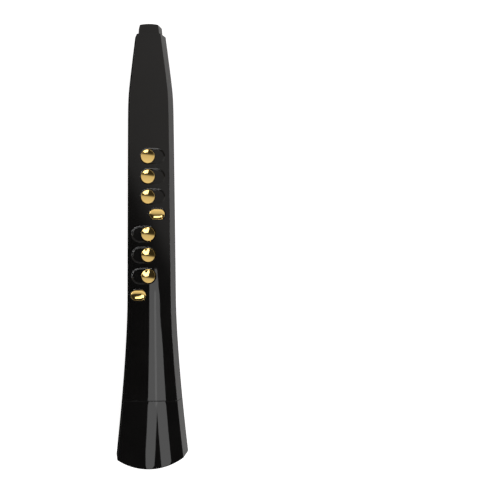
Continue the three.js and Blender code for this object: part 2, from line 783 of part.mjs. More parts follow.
const lampPipe = turned([
  [0, standOff],
  [lampRadius, standOff],
  [lampRadius, floorZ + clearance],
  [lampRadius + lampFlange, floorZ + clearance],
  [lampRadius + lampFlange, floorZ + clearance + lampFlange],
  [lampRadius, floorZ + clearance + lampFlange],
  [lampRadius, mainBoardLowZ - clearance],
  [0, mainBoardLowZ - clearance],
], smallSteps);
addPiece("lamp_light_pipe", lampPipe, clearPipe, [...lampPlace, 0]);

// Sockets in the back: one for the lead, with its tongue, and a round one for headphones.
function leadSocket() {
  const radius = leadSocketWidth / 2;
  const straight = (leadSocketLength - leadSocketWidth) / 2;
  const place = [-socketStep, socketY];
  const lowZ = standOff + seatGap;
  const hollowTop = lowZ + socketDepth;
  const outer = loft([lowZ, mainBoardLowZ - screwGap].map((z) => slotRing(straight, radius, z, place)));
  const hollow = loft([lowZ - overrun, hollowTop].map((z) =>
    slotRing(straight, radius - socketShell, z, place)));
  const tongue = block(
    [place[0] - straight, place[0] + straight],
    [socketY - leadTongue / 2, socketY + leadTongue / 2],
    [lowZ + overrun, hollowTop + socketShell],
  );
  return outer.subtract(hollow).add(tongue);
}
addPiece("lead_socket", leadSocket(), steel);

const phonesPlace = [socketStep, socketY];
const phonesSpan = [standOff + seatGap, mainBoardLowZ - screwGap];
const phonesBarrel = rod(phonesRadius, phonesSpan, phonesPlace, keySteps);
const phonesHole = rod(phonesBore, [standOff - overrun, standOff + socketDepth], phonesPlace);
addPiece("headphone_socket", phonesBarrel.subtract(phonesHole), darkSteel);

// Thumb rest: a plate on the back with a blade that stands down from it and curls under the thumb.
function thumbRest() {
  const topZ = standOff - seatGap;
  const plateZ = topZ - thumbRestPlate;
  const backY = thumbRestY + thumbRestLength / 2;
  const frontY = thumbRestY - thumbRestLength / 2;
  const outline = new THREE.Shape();
  outline.moveTo(backY, topZ);
  outline.lineTo(frontY, topZ);
  outline.lineTo(frontY, plateZ);
  outline.quadraticCurveTo(frontY, thumbRestPlate, frontY - thumbRestLip / 2, thumbRestPlate);
  outline.lineTo(frontY - thumbRestLip / 2, 0);
  outline.lineTo(frontY + thumbRestBlade / 2, 0);
  outline.quadraticCurveTo(frontY + thumbRestBlade, 0, frontY + thumbRestBlade, thumbRestPlate);
  outline.lineTo(frontY + thumbRestBlade, plateZ - thumbRestPlate / 2);
  outline.lineTo(frontY + thumbRestBlade + thumbRestPlate / 2, plateZ);
  outline.lineTo(backY, plateZ);
  let rest = acrossX(outline, thumbRestWidth);
  for (const x of [-thumbRestScrewStep, thumbRestScrewStep]) {
    rest = rest.subtract(rod(screwShaft + screwGap, [plateZ - overrun, topZ + overrun], [x, thumbRestY]));
  }
  return rest;
}
addPiece("thumb_rest", thumbRest(), satinBlack);

// Strap lug: pushed out through the back from inside, and the loose ring through its eye.
function strapLug() {
  const eyeRadius = ringWire + clearance + ringWire / 2;
  const lowZ = lugZ - lugLength / 2;
  const flangeLow = floorZ + seatGap;
  const blade = block(
    [-lugThickness / 2, lugThickness / 2],
    [lugY - lugLength / 2, lugY + lugLength / 2],
    [lugZ, flangeLow + lugFlange],
  );
  const eyeBoss = new THREE.CylinderGeometry(lugLength / 2, lugLength / 2, lugThickness, keySteps);
  eyeBoss.rotateZ(Math.PI / 2);
  eyeBoss.translate(0, lugY, lugZ);
  const eye = new THREE.CylinderGeometry(eyeRadius, eyeRadius, lugThickness + 2 * overrun, postSteps);
  eye.rotateZ(Math.PI / 2);
  eye.translate(0, lugY, lugZ);
  const flangeX = lugThickness / 2 + lugFlangeReach;
  const flangeY = lugLength / 2 + lugFlangeReach;
  const flange = block(
    [-flangeX, flangeX],
    [lugY - flangeY, lugY + flangeY],
    [flangeLow, flangeLow + lugFlange],
  );
  const aboveRest = block(
    [-flangeX, flangeX],
    [lugY - flangeY, lugY + flangeY],
    [Math.max(lowZ, ringWire), flangeLow + lugFlange + overrun],
  );
  return blade.add(solid(eyeBoss)).subtract(solid(eye)).add(flange).intersect(aboveRest);
}
addPiece("strap_lug", strapLug(), steel);

// The ring hangs from the eye until its far side is just above the surface that the part rests on.
const ringReach = 2 * ringRadius;
const ringFall = lugZ - ringWire - ringLift;
const ringTilt = Math.asin(ringFall / ringReach);
const ringShape = new THREE.TorusGeometry(ringRadius, ringWire, smallSteps, keySteps);
ringShape.translate(0, -ringRadius, 0);
ringShape.rotateX(ringTilt);
addPiece("strap_ring", solid(ringShape), steel, [0, lugY, lugZ]);

// Battery cell, lying along the body in a cradle that stands on the rear shell.
const cellZ = floorZ + seatGap + cradleWall + clearance + cellRadius;
const cellHighY = keyBoardEnds[0] - cellFromBoard;
const cellLowY = seamY + bellSpigotReach + cellFromSpigot;
addPiece("battery_cell", lyingRod(cellRadius, [cellLowY, cellHighY], [0, cellZ], keySteps), cellWrap);

function batteryCradle() {
  const half = cellRadius + clearance + cradleWall;
  const lowZ = floorZ + seatGap;
  const ends = [cellLowY - clearance - cradleWall, cellHighY + clearance + cradleWall];
  const hollow = [cellLowY - clearance, cellHighY + clearance];
  const trough = lyingRod(cellRadius + clearance, hollow, [0, cellZ], keySteps);
  return block([-half, half], ends, [lowZ, lowZ + 2 * half * cradleHeightShare]).subtract(trough);
}
addPiece("battery_cradle", batteryCradle(), satinBlack);

// Speaker behind its grille in the bell.
const grilleY = bellEndY + grilleFromEnd;
const speakerZ = (frontAt(grilleY) + backAt(grilleY)) / 2;

function speakerGrille() {
  const plateSpan = [grilleY, grilleY + grilleThickness];
  let plate = bodySolid(bellWall + clearance, plateSpan, crownSteps, edgeSoftening);
  for (let i = 0; i < grilleSlots; i += 1) {
    const x = (i - (grilleSlots - 1) / 2) * grilleSlotPitch;
    plate = plate.subtract(block(
      [x - grilleSlotWidth / 2, x + grilleSlotWidth / 2],
      [grilleY - overrun, grilleY + grilleThickness + overrun],
      [speakerZ - grilleSlotHeight / 2, speakerZ + grilleSlotHeight / 2],
    ));
  }
  return plate;
}
addPiece("speaker_grille", speakerGrille(), satinBlack);

// A turned piece that lies along Y behind the grille, from [radius, distance] points.
function behindGrille(profile, startY) {
  const points = profile.map(([r, y]) => new THREE.Vector2(r, y));
  const lathe = new THREE.LatheGeometry(points, keySteps);
  lathe.translate(0, startY, speakerZ);
  return solid(lathe);
}
const gasketY = grilleY + grilleThickness + seatGap;
const speakerY = gasketY + gasketThickness + seatGap;
const gasketHole = speakerRadius - gasketWidth;
addPiece("speaker_gasket", behindGrille([
  [gasketHole, 0],
  [speakerRadius, 0],
  [speakerRadius, gasketThickness],
  [gasketHole, gasketThickness],
  [gasketHole, 0],
], gasketY), foam);
addPiece("speaker_driver", behindGrille([
  [0, speakerFlange * 2],
  [gasketHole, 0],
  [speakerRadius, 0],
  [speakerRadius, speakerFlange],
  [magnetRadius, speakerDepth - magnetDepth],
  [magnetRadius, speakerDepth],
  [0, speakerDepth],
], speakerY), darkSteel);

// Screws, modelled once and copied.
function panScrew(headRadius, headHeight, shaftRadius, shaftLength) {
  return turned([
    [0, 0],
    [headRadius * screwTopShare, 0],
    [headRadius, headHeight / 2],
    [headRadius, headHeight],
    [shaftRadius, headHeight],
    [shaftRadius, headHeight + shaftLength],
    [0, headHeight + shaftLength + shaftRadius],
  ], smallSteps);
}
const caseScrewRise = counterbore - seatGap - screwHeadHeight;
const caseScrewLength = bodyDepth / 2 - caseScrewRise - screwHeadHeight;
const caseScrew = panScrew(screwHead, screwHeadHeight, screwShaft, caseScrewLength);
caseScrewPlaces.forEach((place, i) =>
  addPiece(`case_screw_${i + 1}`, caseScrew, steel, [...place, backAt(place[1]) + caseScrewRise]));

const restScrewZ = standOff - seatGap - thumbRestPlate - seatGap - screwHeadHeight;
const restScrewLength = mainBoardLowZ - clearance - restScrewZ - screwHeadHeight - screwShaft * 2;
const restScrew = panScrew(screwHead, screwHeadHeight, screwShaft, restScrewLength);
[-thumbRestScrewStep, thumbRestScrewStep].forEach((x, i) =>
  addPiece(`thumb_rest_screw_${i + 1}`, restScrew, steel, [x, thumbRestY, restScrewZ]));

const boardScrew = panScrew(boardScrewHead, screwHeadHeight, boardScrewShaft, boardScrewLength);
const keyBoardScrewZ = keyBoardLowZ - seatGap - screwHeadHeight;
boardPostPlaces.forEach((place, i) =>
  addPiece(`key_board_screw_${i + 1}`, boardScrew, steel, [...place, keyBoardScrewZ]));
const mainBoardScrewZ = mainBoardTopZ + seatGap + screwHeadHeight;
mainPostPlaces.forEach((place, i) =>
  addPiece(`main_board_screw_${i + 1}`, boardScrew, steel, [...place, mainBoardScrewZ], true));

export default part;
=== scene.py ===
# A digital wind controller that lies on its back, keys up. Metres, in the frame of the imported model.
import math

import bmesh
import bpy
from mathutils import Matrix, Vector


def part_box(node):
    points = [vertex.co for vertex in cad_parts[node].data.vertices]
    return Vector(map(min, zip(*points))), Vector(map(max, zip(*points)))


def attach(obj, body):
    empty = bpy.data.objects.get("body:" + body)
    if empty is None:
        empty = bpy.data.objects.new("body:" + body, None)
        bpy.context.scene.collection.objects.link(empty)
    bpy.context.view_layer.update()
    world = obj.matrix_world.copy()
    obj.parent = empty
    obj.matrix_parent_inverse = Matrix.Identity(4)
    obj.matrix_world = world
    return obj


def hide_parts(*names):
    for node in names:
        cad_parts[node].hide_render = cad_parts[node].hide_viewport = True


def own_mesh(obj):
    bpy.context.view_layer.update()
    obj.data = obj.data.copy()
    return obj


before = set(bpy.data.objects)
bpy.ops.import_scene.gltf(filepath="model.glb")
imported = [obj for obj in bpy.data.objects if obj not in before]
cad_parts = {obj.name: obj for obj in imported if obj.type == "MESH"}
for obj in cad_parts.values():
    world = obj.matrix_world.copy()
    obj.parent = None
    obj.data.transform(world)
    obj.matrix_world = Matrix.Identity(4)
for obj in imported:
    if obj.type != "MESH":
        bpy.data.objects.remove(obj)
bpy.ops.object.select_all(action="DESELECT")
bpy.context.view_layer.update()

# Camera: straight above the keys, a metre from the face, and off to the right of the instrument, so that
# its right flank shows and its left one doesn't.
photo_pixels = 500
metres_per_pixel = 0.00105
camera_rise = 1.0
camera_x = 0.1053
camera_y = -0.005
face_level = 0.048
camera_roll = -0.005
sensor_mm = 36
camera_place = (camera_x, camera_y, face_level + camera_rise)
bpy.ops.object.camera_add(location=camera_place, rotation=(0, 0, camera_roll))
camera = bpy.context.object
camera.name = "camera"
camera.data.sensor_width = sensor_mm
camera.data.lens = sensor_mm * camera_rise / (photo_pixels * metres_per_pixel)
bpy.context.scene.camera = camera
bpy.context.scene.view_settings.view_transform = "Standard"

# Floor: a white table that goes on without an edge. It glows for the camera, hardly at all in reflections,
# and under that it is matte, so that it keeps the instrument's shadow.
floor_size = 40
floor_glow_seen = 0.8
floor_glow_mirrored = 0.03
bpy.ops.mesh.primitive_plane_add(size=floor_size)
floor = bpy.context.object
floor.name = "floor"


def new_material(name):
    """An empty node material and its tree."""
    material = bpy.data.materials.new(name)
    material.use_nodes = True
    material.node_tree.nodes.clear()
    return material, material.node_tree


def node(tree, kind, inputs=None, **settings):
    """Adds a node, sets its properties and its inputs; an input that is a socket is linked."""
    made = tree.nodes.new(kind)
    for key, value in settings.items():
        setattr(made, key, value)
    for key, value in (inputs or {}).items():
        if isinstance(value, bpy.types.NodeSocket):
            tree.links.new(value, made.inputs[key])
        else:
            made.inputs[key].default_value = value
    return made


def math_node(tree, operation, *values):
    """What an operation makes of two or three values."""
    return node(tree, "ShaderNodeMath", dict(enumerate(values)), operation=operation).outputs[0]


def ranged(tree, value, low, high, start=0.3, stop=0.7):
    """That value spread over a range."""
    return node(tree, "ShaderNodeMapRange", {
        "Value": value, "From Min": start, "From Max": stop, "To Min": low, "To Max": high}).outputs[0]


def output(tree, surface, kind="ShaderNodeOutputMaterial"):
    """Links a shader node to the output of its tree."""
    node(tree, kind, {"Surface": surface.outputs[0]})


def seen_rays(tree, camera_share, glossy_share):
    """A strength with one share for the camera, another for mirrors and glass, and none for the rest."""
    rays = node(tree, "ShaderNodeLightPath").outputs
    seen = math_node(tree, "MULTIPLY", rays["Is Camera Ray"], camera_share)
    mirrored = math_node(tree, "MAXIMUM", rays["Is Glossy Ray"], rays["Is Transmission Ray"])
    return math_node(tree, "MULTIPLY_ADD", mirrored, glossy_share, seen)


floor_paint, tree = new_material("floor_paint")
matte = node(tree, "ShaderNodeBsdfDiffuse", {"Color": (0.62, 0.62, 0.62, 1)})
glow = node(tree, "ShaderNodeEmission", {"Strength": seen_rays(tree, floor_glow_seen, floor_glow_mirrored)})
output(tree, node(tree, "ShaderNodeAddShader", {0: matte.outputs[0], 1: glow.outputs[0]}))
floor.data.materials.append(floor_paint)

# Studio: a white surround to the camera. What lights the object is dim overhead, brighter low down and
# towards the mouthpiece end, as in a tent that is open on the side of the bell.
tent_slant = 0.13
tent_start, tent_stop = -0.04, 0.4
tent_lights = ((0.0, 0.03), (0.09, 0.1), (0.12, 0.2), (0.18, 0.5), (0.25, 0.62), (0.5, 0.7), (1.0, 0.85))
low_height, low_light = 0.45, 0.5
world = bpy.data.worlds.new("studio")
bpy.context.scene.world = world
world.use_nodes = True
tree = world.node_tree
tree.nodes.clear()
direction = node(tree, "ShaderNodeTexCoord").outputs["Generated"]
split = node(tree, "ShaderNodeSeparateXYZ", {0: direction})
slanted = math_node(tree, "MULTIPLY_ADD", split.outputs["X"], tent_slant, split.outputs["Y"])
tent_ramp = node(tree, "ShaderNodeValToRGB", {"Fac": ranged(tree, slanted, 0.0, 1.0, tent_start, tent_stop)})
for place, light in tent_lights:
    stops = tent_ramp.color_ramp.elements
    stop = stops[0] if place == 0 else stops[-1] if place == 1 else stops.new(place)
    stop.color = (light, light, light, 1)
low = ranged(tree, split.outputs["Z"], 0.0, low_light, low_height, 0.0)
brightest = math_node(tree, "MAXIMUM", tent_ramp.outputs[0], low)
seen = node(tree, "ShaderNodeLightPath").outputs["Is Camera Ray"]
strength = node(tree, "ShaderNodeMix", {"Factor": seen, "A": brightest, "B": 1.0})
tint = node(tree, "ShaderNodeMix", {
    "Factor": seen, "A": (1.0, 0.96, 0.92, 1), "B": (1, 1, 1, 1)}, data_type="RGBA")
output(tree, node(tree, "ShaderNodeBackground", {
    "Color": tint.outputs["Result"], "Strength": strength.outputs[0]}), "ShaderNodeOutputWorld")


def soft_box(name, at, size, radiance):
    """A rectangular lamp aimed at the middle, with an even face, which the camera doesn't see."""
    bpy.ops.object.light_add(type="AREA", location=at)
    lamp = bpy.context.object
    lamp.name = name
    lamp.rotation_euler = (-Vector(at)).to_track_quat("-Z", "Y").to_euler()
    lamp.data.shape = "RECTANGLE"
    lamp.data.size, lamp.data.size_y = size
    lamp.data.energy = radiance * math.pi * size[0] * size[1]
    lamp.visible_camera = False
    return lamp


def lit_panel(name, corners, height, radiance):
    """A flat glowing panel overhead with that outline, which the camera doesn't see."""
    bpy.ops.mesh.primitive_circle_add(vertices=len(corners), fill_type="NGON")
    panel = bpy.context.object
    panel.name = name
    for corner, (x, y) in zip(panel.data.vertices, corners):
        corner.co = (x, y, height)
    glow, tree = new_material(name + "_glow")
    output(tree, node(tree, "ShaderNodeEmission", {"Strength": radiance}))
    panel.data.materials.append(glow)
    panel.visible_camera = False


# Two long panels side by side high overhead, from past the middle of the instrument out over the bell. They
# overlap at first and then part, which shows as a bright line and a dark wedge in the gloss.
panel_height = 5.05
panel_step = 0.001
panel_radiance = 2.6
overlap_share = 1.43
lit_panel("left_panel", [(-0.54, -0.19), (-0.085, -0.13), (-0.085, -0.71), (-0.32, -1.02), (-0.39, -1.1),
                         (-0.54, -1.35), (-0.71, -1.35), (-0.73, -1.1), (-0.78, -0.94), (-0.65, -0.66)],
          panel_height, panel_radiance)
lit_panel("right_panel", [(-0.11, -0.115), (0.095, -0.115), (0.2, -0.225), (0.435, -0.4), (0.495, -0.665),
                          (0.6, -0.94), (0.57, -1.1), (0.57, -1.35), (0.16, -1.35), (0.1, -1.1),
                          (0.07, -0.98), (-0.1, -0.7)], panel_height + panel_step, panel_radiance)
lit_panel("panel_overlap", [(-0.158, -0.255), (-0.008, -0.255), (-0.075, -0.69), (-0.19, -0.69)],
          panel_height - 2 * panel_step, overlap_share * panel_radiance)

# The key light stands low on the right of the bell, out of reflections, and a fill low on the left. Two
# narrow banks high up, past the bell and on the right, show in the rounded rims of the wells.
key_light = soft_box("key_light", (0.75, -0.95, 0.75), (0.9, 0.7), 7.0)
key_light.visible_glossy = False
soft_box("fill_light", (-1.1, 0.5, 0.5), (0.6, 0.6), 2.5)
banks = [soft_box("rim_bank", (0.22, -0.85, 1.6), (1.6, 0.3), 26.0),
         soft_box("side_bank", (0.92, -0.25, 1.6), (1.0, 0.3), 26.0)]
for bank in banks:
    bank.visible_diffuse = False

# A black card lies along the left flank, for reflections alone, so that this edge stays dark on white.
card_width, card_length, card_level = 0.092, 0.52, 0.0004
bpy.ops.mesh.primitive_plane_add(size=1, location=(-card_width / 2, 0, card_level))
card = bpy.context.object
card.name = "black_card"
card.scale = (card_width, card_length, 1)
bpy.ops.object.transform_apply(scale=True)
card_paint, tree = new_material("card_paint")
output(tree, node(tree, "ShaderNodeBsdfDiffuse", {"Color": (0.01, 0.01, 0.01, 1)}))
card.data.materials.append(card_paint)
card.visible_camera = False
card.visible_diffuse = False
card.visible_shadow = False

# Case, front and rear shell: two mouldings of gloss black ABS with a 2.2 mm wall, six-sided in section, that
# meet at the middle line of the flanks and are screwed together from behind. The front has a crowned face.
body_width = 0.0521
body_depth = 0.036
stand_off = 0.012
facet_inset = 0.004
crown_share = 0.08
wall = 0.0022
end_wall = 0.0024
clearance = 0.0003
corner_radius = 0.0007
seam_radius = 0.00025
ridge_radius = 0.0006
sharp_edge = math.radians(32)
tip_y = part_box("neck_tenon")[1].y
shoulder_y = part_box("front_shell")[1].y
seam_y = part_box("front_shell")[0].y
bell_end_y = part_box("bell_shell")[0].y
taper_share = 0.0146
neck_share = 0.24
knee_y = shoulder_y - 0.063
knee_blend = 0.0115
flare_length = 0.176
flare_start_y = bell_end_y + flare_length
flare_width = 0.0278
flare_rise = 0.003
flare_power = 1.5
rest_land = 0.014
middle_z = stand_off + body_depth / 2


def flare_at(y, length):
    return max(0, (flare_start_y - y) / length) ** flare_power


def half_width(y):
    past_knee = y - knee_y
    knee = (past_knee + math.hypot(past_knee, knee_blend)) / 2
    taper = taper_share * max(0, y - flare_start_y) + neck_share * knee
    return (body_width - taper + flare_width * flare_at(y, flare_length)) / 2


def face_at(x, y):
    """Height of the crowned front face."""
    half = half_width(y) - facet_inset
    edge = stand_off + body_depth + flare_rise * flare_at(y, flare_length)
    return edge + crown_share * half * (1 - (x / half) ** 2)


def back_at(x, y):
    """Height of the flat back."""
    return stand_off * (1 - min(1, flare_at(y, flare_length - rest_land)))


def select(kind, test):
    """In edit mode, selects only the verts or edges that pass a test."""
    bpy.ops.mesh.select_mode(type="VERT" if kind == "verts" else "EDGE")
    bpy.ops.mesh.select_all(action="DESELECT")
    shape = bmesh.from_edit_mesh(bpy.context.object.data)
    for element in getattr(shape, kind):
        if test(element):
            element.select_set(True)
    shape.select_flush_mode()
    bmesh.update_edit_mesh(bpy.context.object.data)


def along(edge):
    """The way an edge runs."""
    return (edge.verts[1].co - edge.verts[0].co).normalized()


def body_section(y, inset=0.0):
    """Half widths at the middle line and the face, levels of face and back, and the rise of the crown."""
    middle = half_width(y) - inset
    face = middle - facet_inset
    edge = stand_off + body_depth + flare_rise * flare_at(y, flare_length) - inset
    return middle, face, edge, back_at(0, y) + inset, 0 if inset else crown_share * face


def six_sided(name, low, high, section, columns=1, station=0.005):
    """A box from one place to another along the instrument, cut into stations and set on a six-sided section.
    The low end may be a line that bends across the instrument, given as a function of x."""
    bpy.ops.mesh.primitive_cube_add(size=2, enter_editmode=True)
    block = bpy.context.object
    block.name = name
    low_at = low if callable(low) else lambda x: low
    stations = max(1, round((high - low_at(0)) / station))
    for cuts, axis in ((stations - 1, 1), (columns - 1, 0), (1, 2)):
        if cuts:
            select("edges", lambda edge: abs(along(edge)[axis]) > 0.5)
            bpy.ops.mesh.subdivide(number_cuts=cuts)
    bpy.ops.object.mode_set(mode="OBJECT")
    for corner in block.data.vertices:
        across, level = corner.co.x, corner.co.z
        way = (corner.co.y + 1) / 2
        x = 0.0
        for settling in range(8):
            y = low_at(x) + (high - low_at(x)) * way
            middle, face, front, back, crown = section(y)
            x = across * (middle + (face - middle) * abs(level))
        top = front + crown * (1 - across**2)
        z = middle_z + max(0, level) * (top - middle_z) + min(0, level) * (middle_z - back)
        corner.co = (x, y, z)
    return block


def use(piece):
    bpy.ops.object.select_all(action="DESELECT")
    piece.select_set(True)
    bpy.context.view_layer.objects.active = piece


def round_edges(piece, *rounds):
    """Rounds the edges that pass a test to a radius, for one test after another."""
    use(piece)
    bpy.ops.object.mode_set(mode="EDIT")
    for test, radius, segments in rounds:
        select("edges", test)
        bpy.ops.mesh.bevel(offset=radius, segments=segments, affect="EDGES", clamp_overlap=True)
    bpy.ops.object.mode_set(mode="OBJECT")


def fold(edge):
    """How sharply the two faces of an edge meet."""
    return edge.calc_face_angle(0)


def ridge(edge, sharpest=0.5):
    """Whether an edge is a soft ridge that runs along the instrument."""
    return 0.2 < fold(edge) < sharpest and abs(along(edge).y) > 0.5


def round_body(piece, seam):
    """Rounds the ridges of a length of the body, its end at the seam, and its other corners."""
    round_edges(piece, (ridge, ridge_radius, 2),
                (lambda edge: fold(edge) > 0.8 and all(abs(end.co.y - seam) < 1e-5 for end in edge.verts),
                 seam_radius, 2),
                (lambda edge: fold(edge) > 0.8, corner_radius, 4))


def combine(piece, tool, operation):
    """Cuts a piece with a tool, or joins or keeps what they share, and takes the tool away."""
    use(piece)
    bpy.ops.object.modifier_add(type="BOOLEAN")
    change = piece.modifiers[-1]
    change.operation = operation
    change.solver = "EXACT"
    change.object = tool
    bpy.ops.object.modifier_apply(modifier=change.name)
    bpy.data.objects.remove(tool)


def smooth(piece, weighted=True):
    """Smooth shading up to a sharp edge, with large faces kept as they are beside narrow rounds."""
    use(piece)
    bpy.ops.object.shade_smooth_by_angle(angle=sharp_edge)
    if weighted:
        bpy.ops.object.modifier_add(type="WEIGHTED_NORMAL")
        change = piece.modifiers[-1]
        change.keep_sharp = True
        change.weight = 80
        bpy.ops.object.modifier_apply(modifier=change.name)


def slot_ring(place, straight, radius, height, steps=64):
    """Points of a slot with round ends along X. The height is a level, or worked out from x and y."""
    ring = []
    for i in range(steps):
        turn = 2 * math.pi * (i + 0.5) / steps
        x = place[0] + math.copysign(straight, math.cos(turn)) + radius * math.cos(turn)
        y = place[1] + radius * math.sin(turn)
        ring.append((x, y, height(x, y) if callable(height) else height))
    return ring


def skin(name, rings, tube=False):
    """Pulls a closed skin up over rings of points, one extrusion for each ring, and shuts its ends, or joins
    the last ring to the first for a tube."""
    count = len(rings[0])
    bpy.ops.mesh.primitive_circle_add(vertices=count, fill_type="NOTHING", enter_editmode=True)
    piece = bpy.context.object
    piece.name = name
    shape = bmesh.from_edit_mesh(piece.data)
    for point, corner in zip(rings[0], shape.verts):
        corner.co = point
    places = {i: i for i in range(count)}
    for ring in rings[1:]:
        bpy.ops.mesh.extrude_edges_move()
        shape = bmesh.from_edit_mesh(piece.data)
        shape.verts.index_update()
        raised = {}
        for corner in shape.verts:
            if corner.select:
                below = min(edge.other_vert(corner).index for edge in corner.link_edges)
                raised[corner.index] = places[below]
                corner.co = ring[places[below]]
        places = raised
    if tube:
        select("edges", lambda edge: edge.is_boundary)
        bpy.ops.mesh.bridge_edge_loops()
    else:
        bpy.ops.mesh.edge_face_add()
        select("verts", lambda corner: corner.index < count)
        bpy.ops.mesh.edge_face_add()
    bpy.ops.mesh.select_all(action="SELECT")
    bpy.ops.mesh.normals_make_consistent(inside=False)
    bpy.ops.object.mode_set(mode="OBJECT")
    return piece


def quarter(steps):
    """Sines and cosines at even steps up to a quarter turn."""
    turns = [math.pi / 2 * i / steps for i in range(steps + 1)]
    return [(math.sin(turn), math.cos(turn)) for turn in turns]


def mouth(place, straight, radius, surface, out, size):
    """Rings of a tool that leaves a rounded rim: from below a surface, out of it in a quarter round."""
    rings = []
    steps = 5
    for i in range(steps + 1):
        turn = math.radians(82) * i / steps
        depth = size * (1 - math.sin(turn)) * out
        grown = radius + size * (1 - math.cos(turn))
        rings.append(slot_ring(place, straight, grown, lambda x, y: surface(x, y) - depth))
    for rise in (0.03 * size, 5 * size):
        rings.append(slot_ring(place, straight, radius + 1.1 * size, lambda x, y: surface(x, y) + rise * out))
    return rings


def join(name, pieces):
    """One object of several."""
    use(pieces[0])
    for piece in pieces[1:]:
        piece.select_set(True)
    bpy.ops.object.join()
    pieces[0].name = name
    return pieces[0]


def stand_for(piece, node_name, material, body="case"):
    """Names a finished piece, paints it and sets it in the place of its CAD node."""
    piece.name = node_name + "_finish"
    piece.data.materials.clear()
    piece.data.materials.append(material)
    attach(piece, body)
    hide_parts(node_name)
    return piece


def own(tree):
    """The piece's own coordinates."""
    return node(tree, "ShaderNodeTexCoord").outputs["Object"]


def grain(tree, scale, detail=3.0, roughness=0.5):
    """Noise in the piece's own coordinates."""
    return node(tree, "ShaderNodeTexNoise", {
        "Vector": own(tree), "Scale": scale, "Detail": detail, "Roughness": roughness}).outputs["Fac"]


def mixed(tree, value, first, second, stop=0.7):
    """A colour between two, by that value."""
    mix = node(tree, "ShaderNodeMix", {
        "Factor": ranged(tree, value, 0.0, 1.0, stop=stop), "A": (*first, 1), "B": (*second, 1)},
        data_type="RGBA")
    return mix.outputs["Result"]


def bumped(tree, height, strength, distance):
    """A bump of that depth."""
    return node(tree, "ShaderNodeBump", {
        "Height": height, "Strength": strength, "Distance": distance}).outputs[0]


def finished(tree, **inputs):
    """The surface shader with its inputs, and the output."""
    output(tree, node(tree, "ShaderNodeBsdfPrincipled", {
        key.replace("_", " "): value for key, value in inputs.items()}))


# Gloss black plastic: polished in the mould, with the faintest ripple, and hazy where fingers and a cloth
# have been over it.
gloss_black, tree = new_material("gloss_black")
haze = grain(tree, 38.0, 6.0, 0.62)
finished(tree, Base_Color=mixed(tree, haze, (0.0032, 0.0031, 0.0031), (0.0048, 0.0046, 0.0046), stop=0.8),
         Roughness=ranged(tree, haze, 0.015, 0.045, 0.38, 0.72), IOR=1.42,
         Normal=bumped(tree, grain(tree, 55.0, 1.0, 0.4), 0.06, 0.0002))

middle_gap = 0.0002
case = six_sided("case", seam_y, shoulder_y, body_section, columns=24)
round_body(case, seam_y)
hollow_low, hollow_high = seam_y - 0.001, shoulder_y - end_wall
combine(case, six_sided("hollow", hollow_low, hollow_high, lambda y: body_section(y, wall)), "DIFFERENCE")

# Neck tenon: its own moulding, trapped behind the end wall, with the air bore through its middle. The
# mouthpiece pushes over it.
tenon_length = tip_y - shoulder_y
tenon_side_step = 0.00312
tenon_step = 0.0034
tenon_taper = 0.002
tenon_facet_inset = 0.0026
tenon_reach = 0.026
tenon_flange = 0.0034
tip_arch = 0.0024
tip_round = 0.001
air_bore = 0.004
bore_round = 0.0004


def tenon_section(y, growth=0.0):
    """A section as of the body, for the tenon or for a hole a little larger."""
    way = (y - shoulder_y) / tenon_length
    middle = half_width(shoulder_y) - tenon_side_step - tenon_taper / 2 * way + growth
    face = middle - tenon_facet_inset
    front = stand_off + body_depth - tenon_step + growth
    return middle, face, front, stand_off + tenon_step - growth, crown_share * face


combine(case, six_sided("tenon_hole", hollow_high - 0.001, shoulder_y + 0.001,
                        lambda y: tenon_section(y, clearance), columns=8), "DIFFERENCE")
tenon = six_sided("tenon", shoulder_y - tenon_reach, tip_y, tenon_section, columns=12, station=0.003)
for corner in tenon.data.vertices:
    if corner.co.y > tip_y - 0.0001:
        corner.co.y -= tip_arch * (corner.co.x / half_width(shoulder_y)) ** 2
round_edges(tenon, (lambda edge: ridge(edge, 0.6), ridge_radius, 2),
            (lambda edge: fold(edge) > 0.8, tip_round, 4))
flange_high = hollow_high - clearance
combine(tenon, six_sided("flange", flange_high - tenon_flange, flange_high,
                         lambda y: body_section(y, wall + clearance)), "UNION")
bpy.ops.mesh.primitive_cylinder_add(vertices=64, radius=air_bore, depth=2 * tenon_reach,
                                    location=(0, tip_y, middle_z), rotation=(math.pi / 2, 0, 0))
combine(tenon, bpy.context.object, "DIFFERENCE")
round_edges(tenon, (lambda edge: fold(edge) > 1 and all(
    abs(math.hypot(end.co.x, end.co.z - middle_z) - air_bore) < 1e-5 and abs(end.co.y - tip_y) < tip_arch / 4
    for end in edge.verts), bore_round, 3))
smooth(tenon)
stand_for(tenon, "neck_tenon", gloss_black)

# The case again: parted at the middle line. The front gets its finger wells and key holes, the rear its
# holes for the thumb keys, buttons, lamp, sockets, strap lug and screws.
key_radius = 0.00715
key_gap = 0.0002
well_run = 0.0094
well_depth = 0.002
well_radius = 0.0076
well_slope = 0.0002
rim_round = 0.0007
floor_round = 0.0005
oval_straight = 0.0029
oval_radius = 0.0051
oval_well_margin = 0.001
oval_well_depth = 0.0006
oval_rim = 0.0003
hole_reach = 0.003
face_top = face_at(0, 0)
round_keys = {f"{hand}_key_{i}": run
              for hand, run in (("upper", well_run), ("lower", -well_run)) for i in (1, 2, 3)}
side_keys = ("upper_side_key", "lower_side_key")


def middle_of(node_name):
    """Where a CAD node stands, in plan."""
    low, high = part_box(node_name)
    return (low.x + high.x) / 2, (low.y + high.y) / 2


def height_of(node_name):
    """How high a CAD node is."""
    low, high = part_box(node_name)
    return high.z - low.z


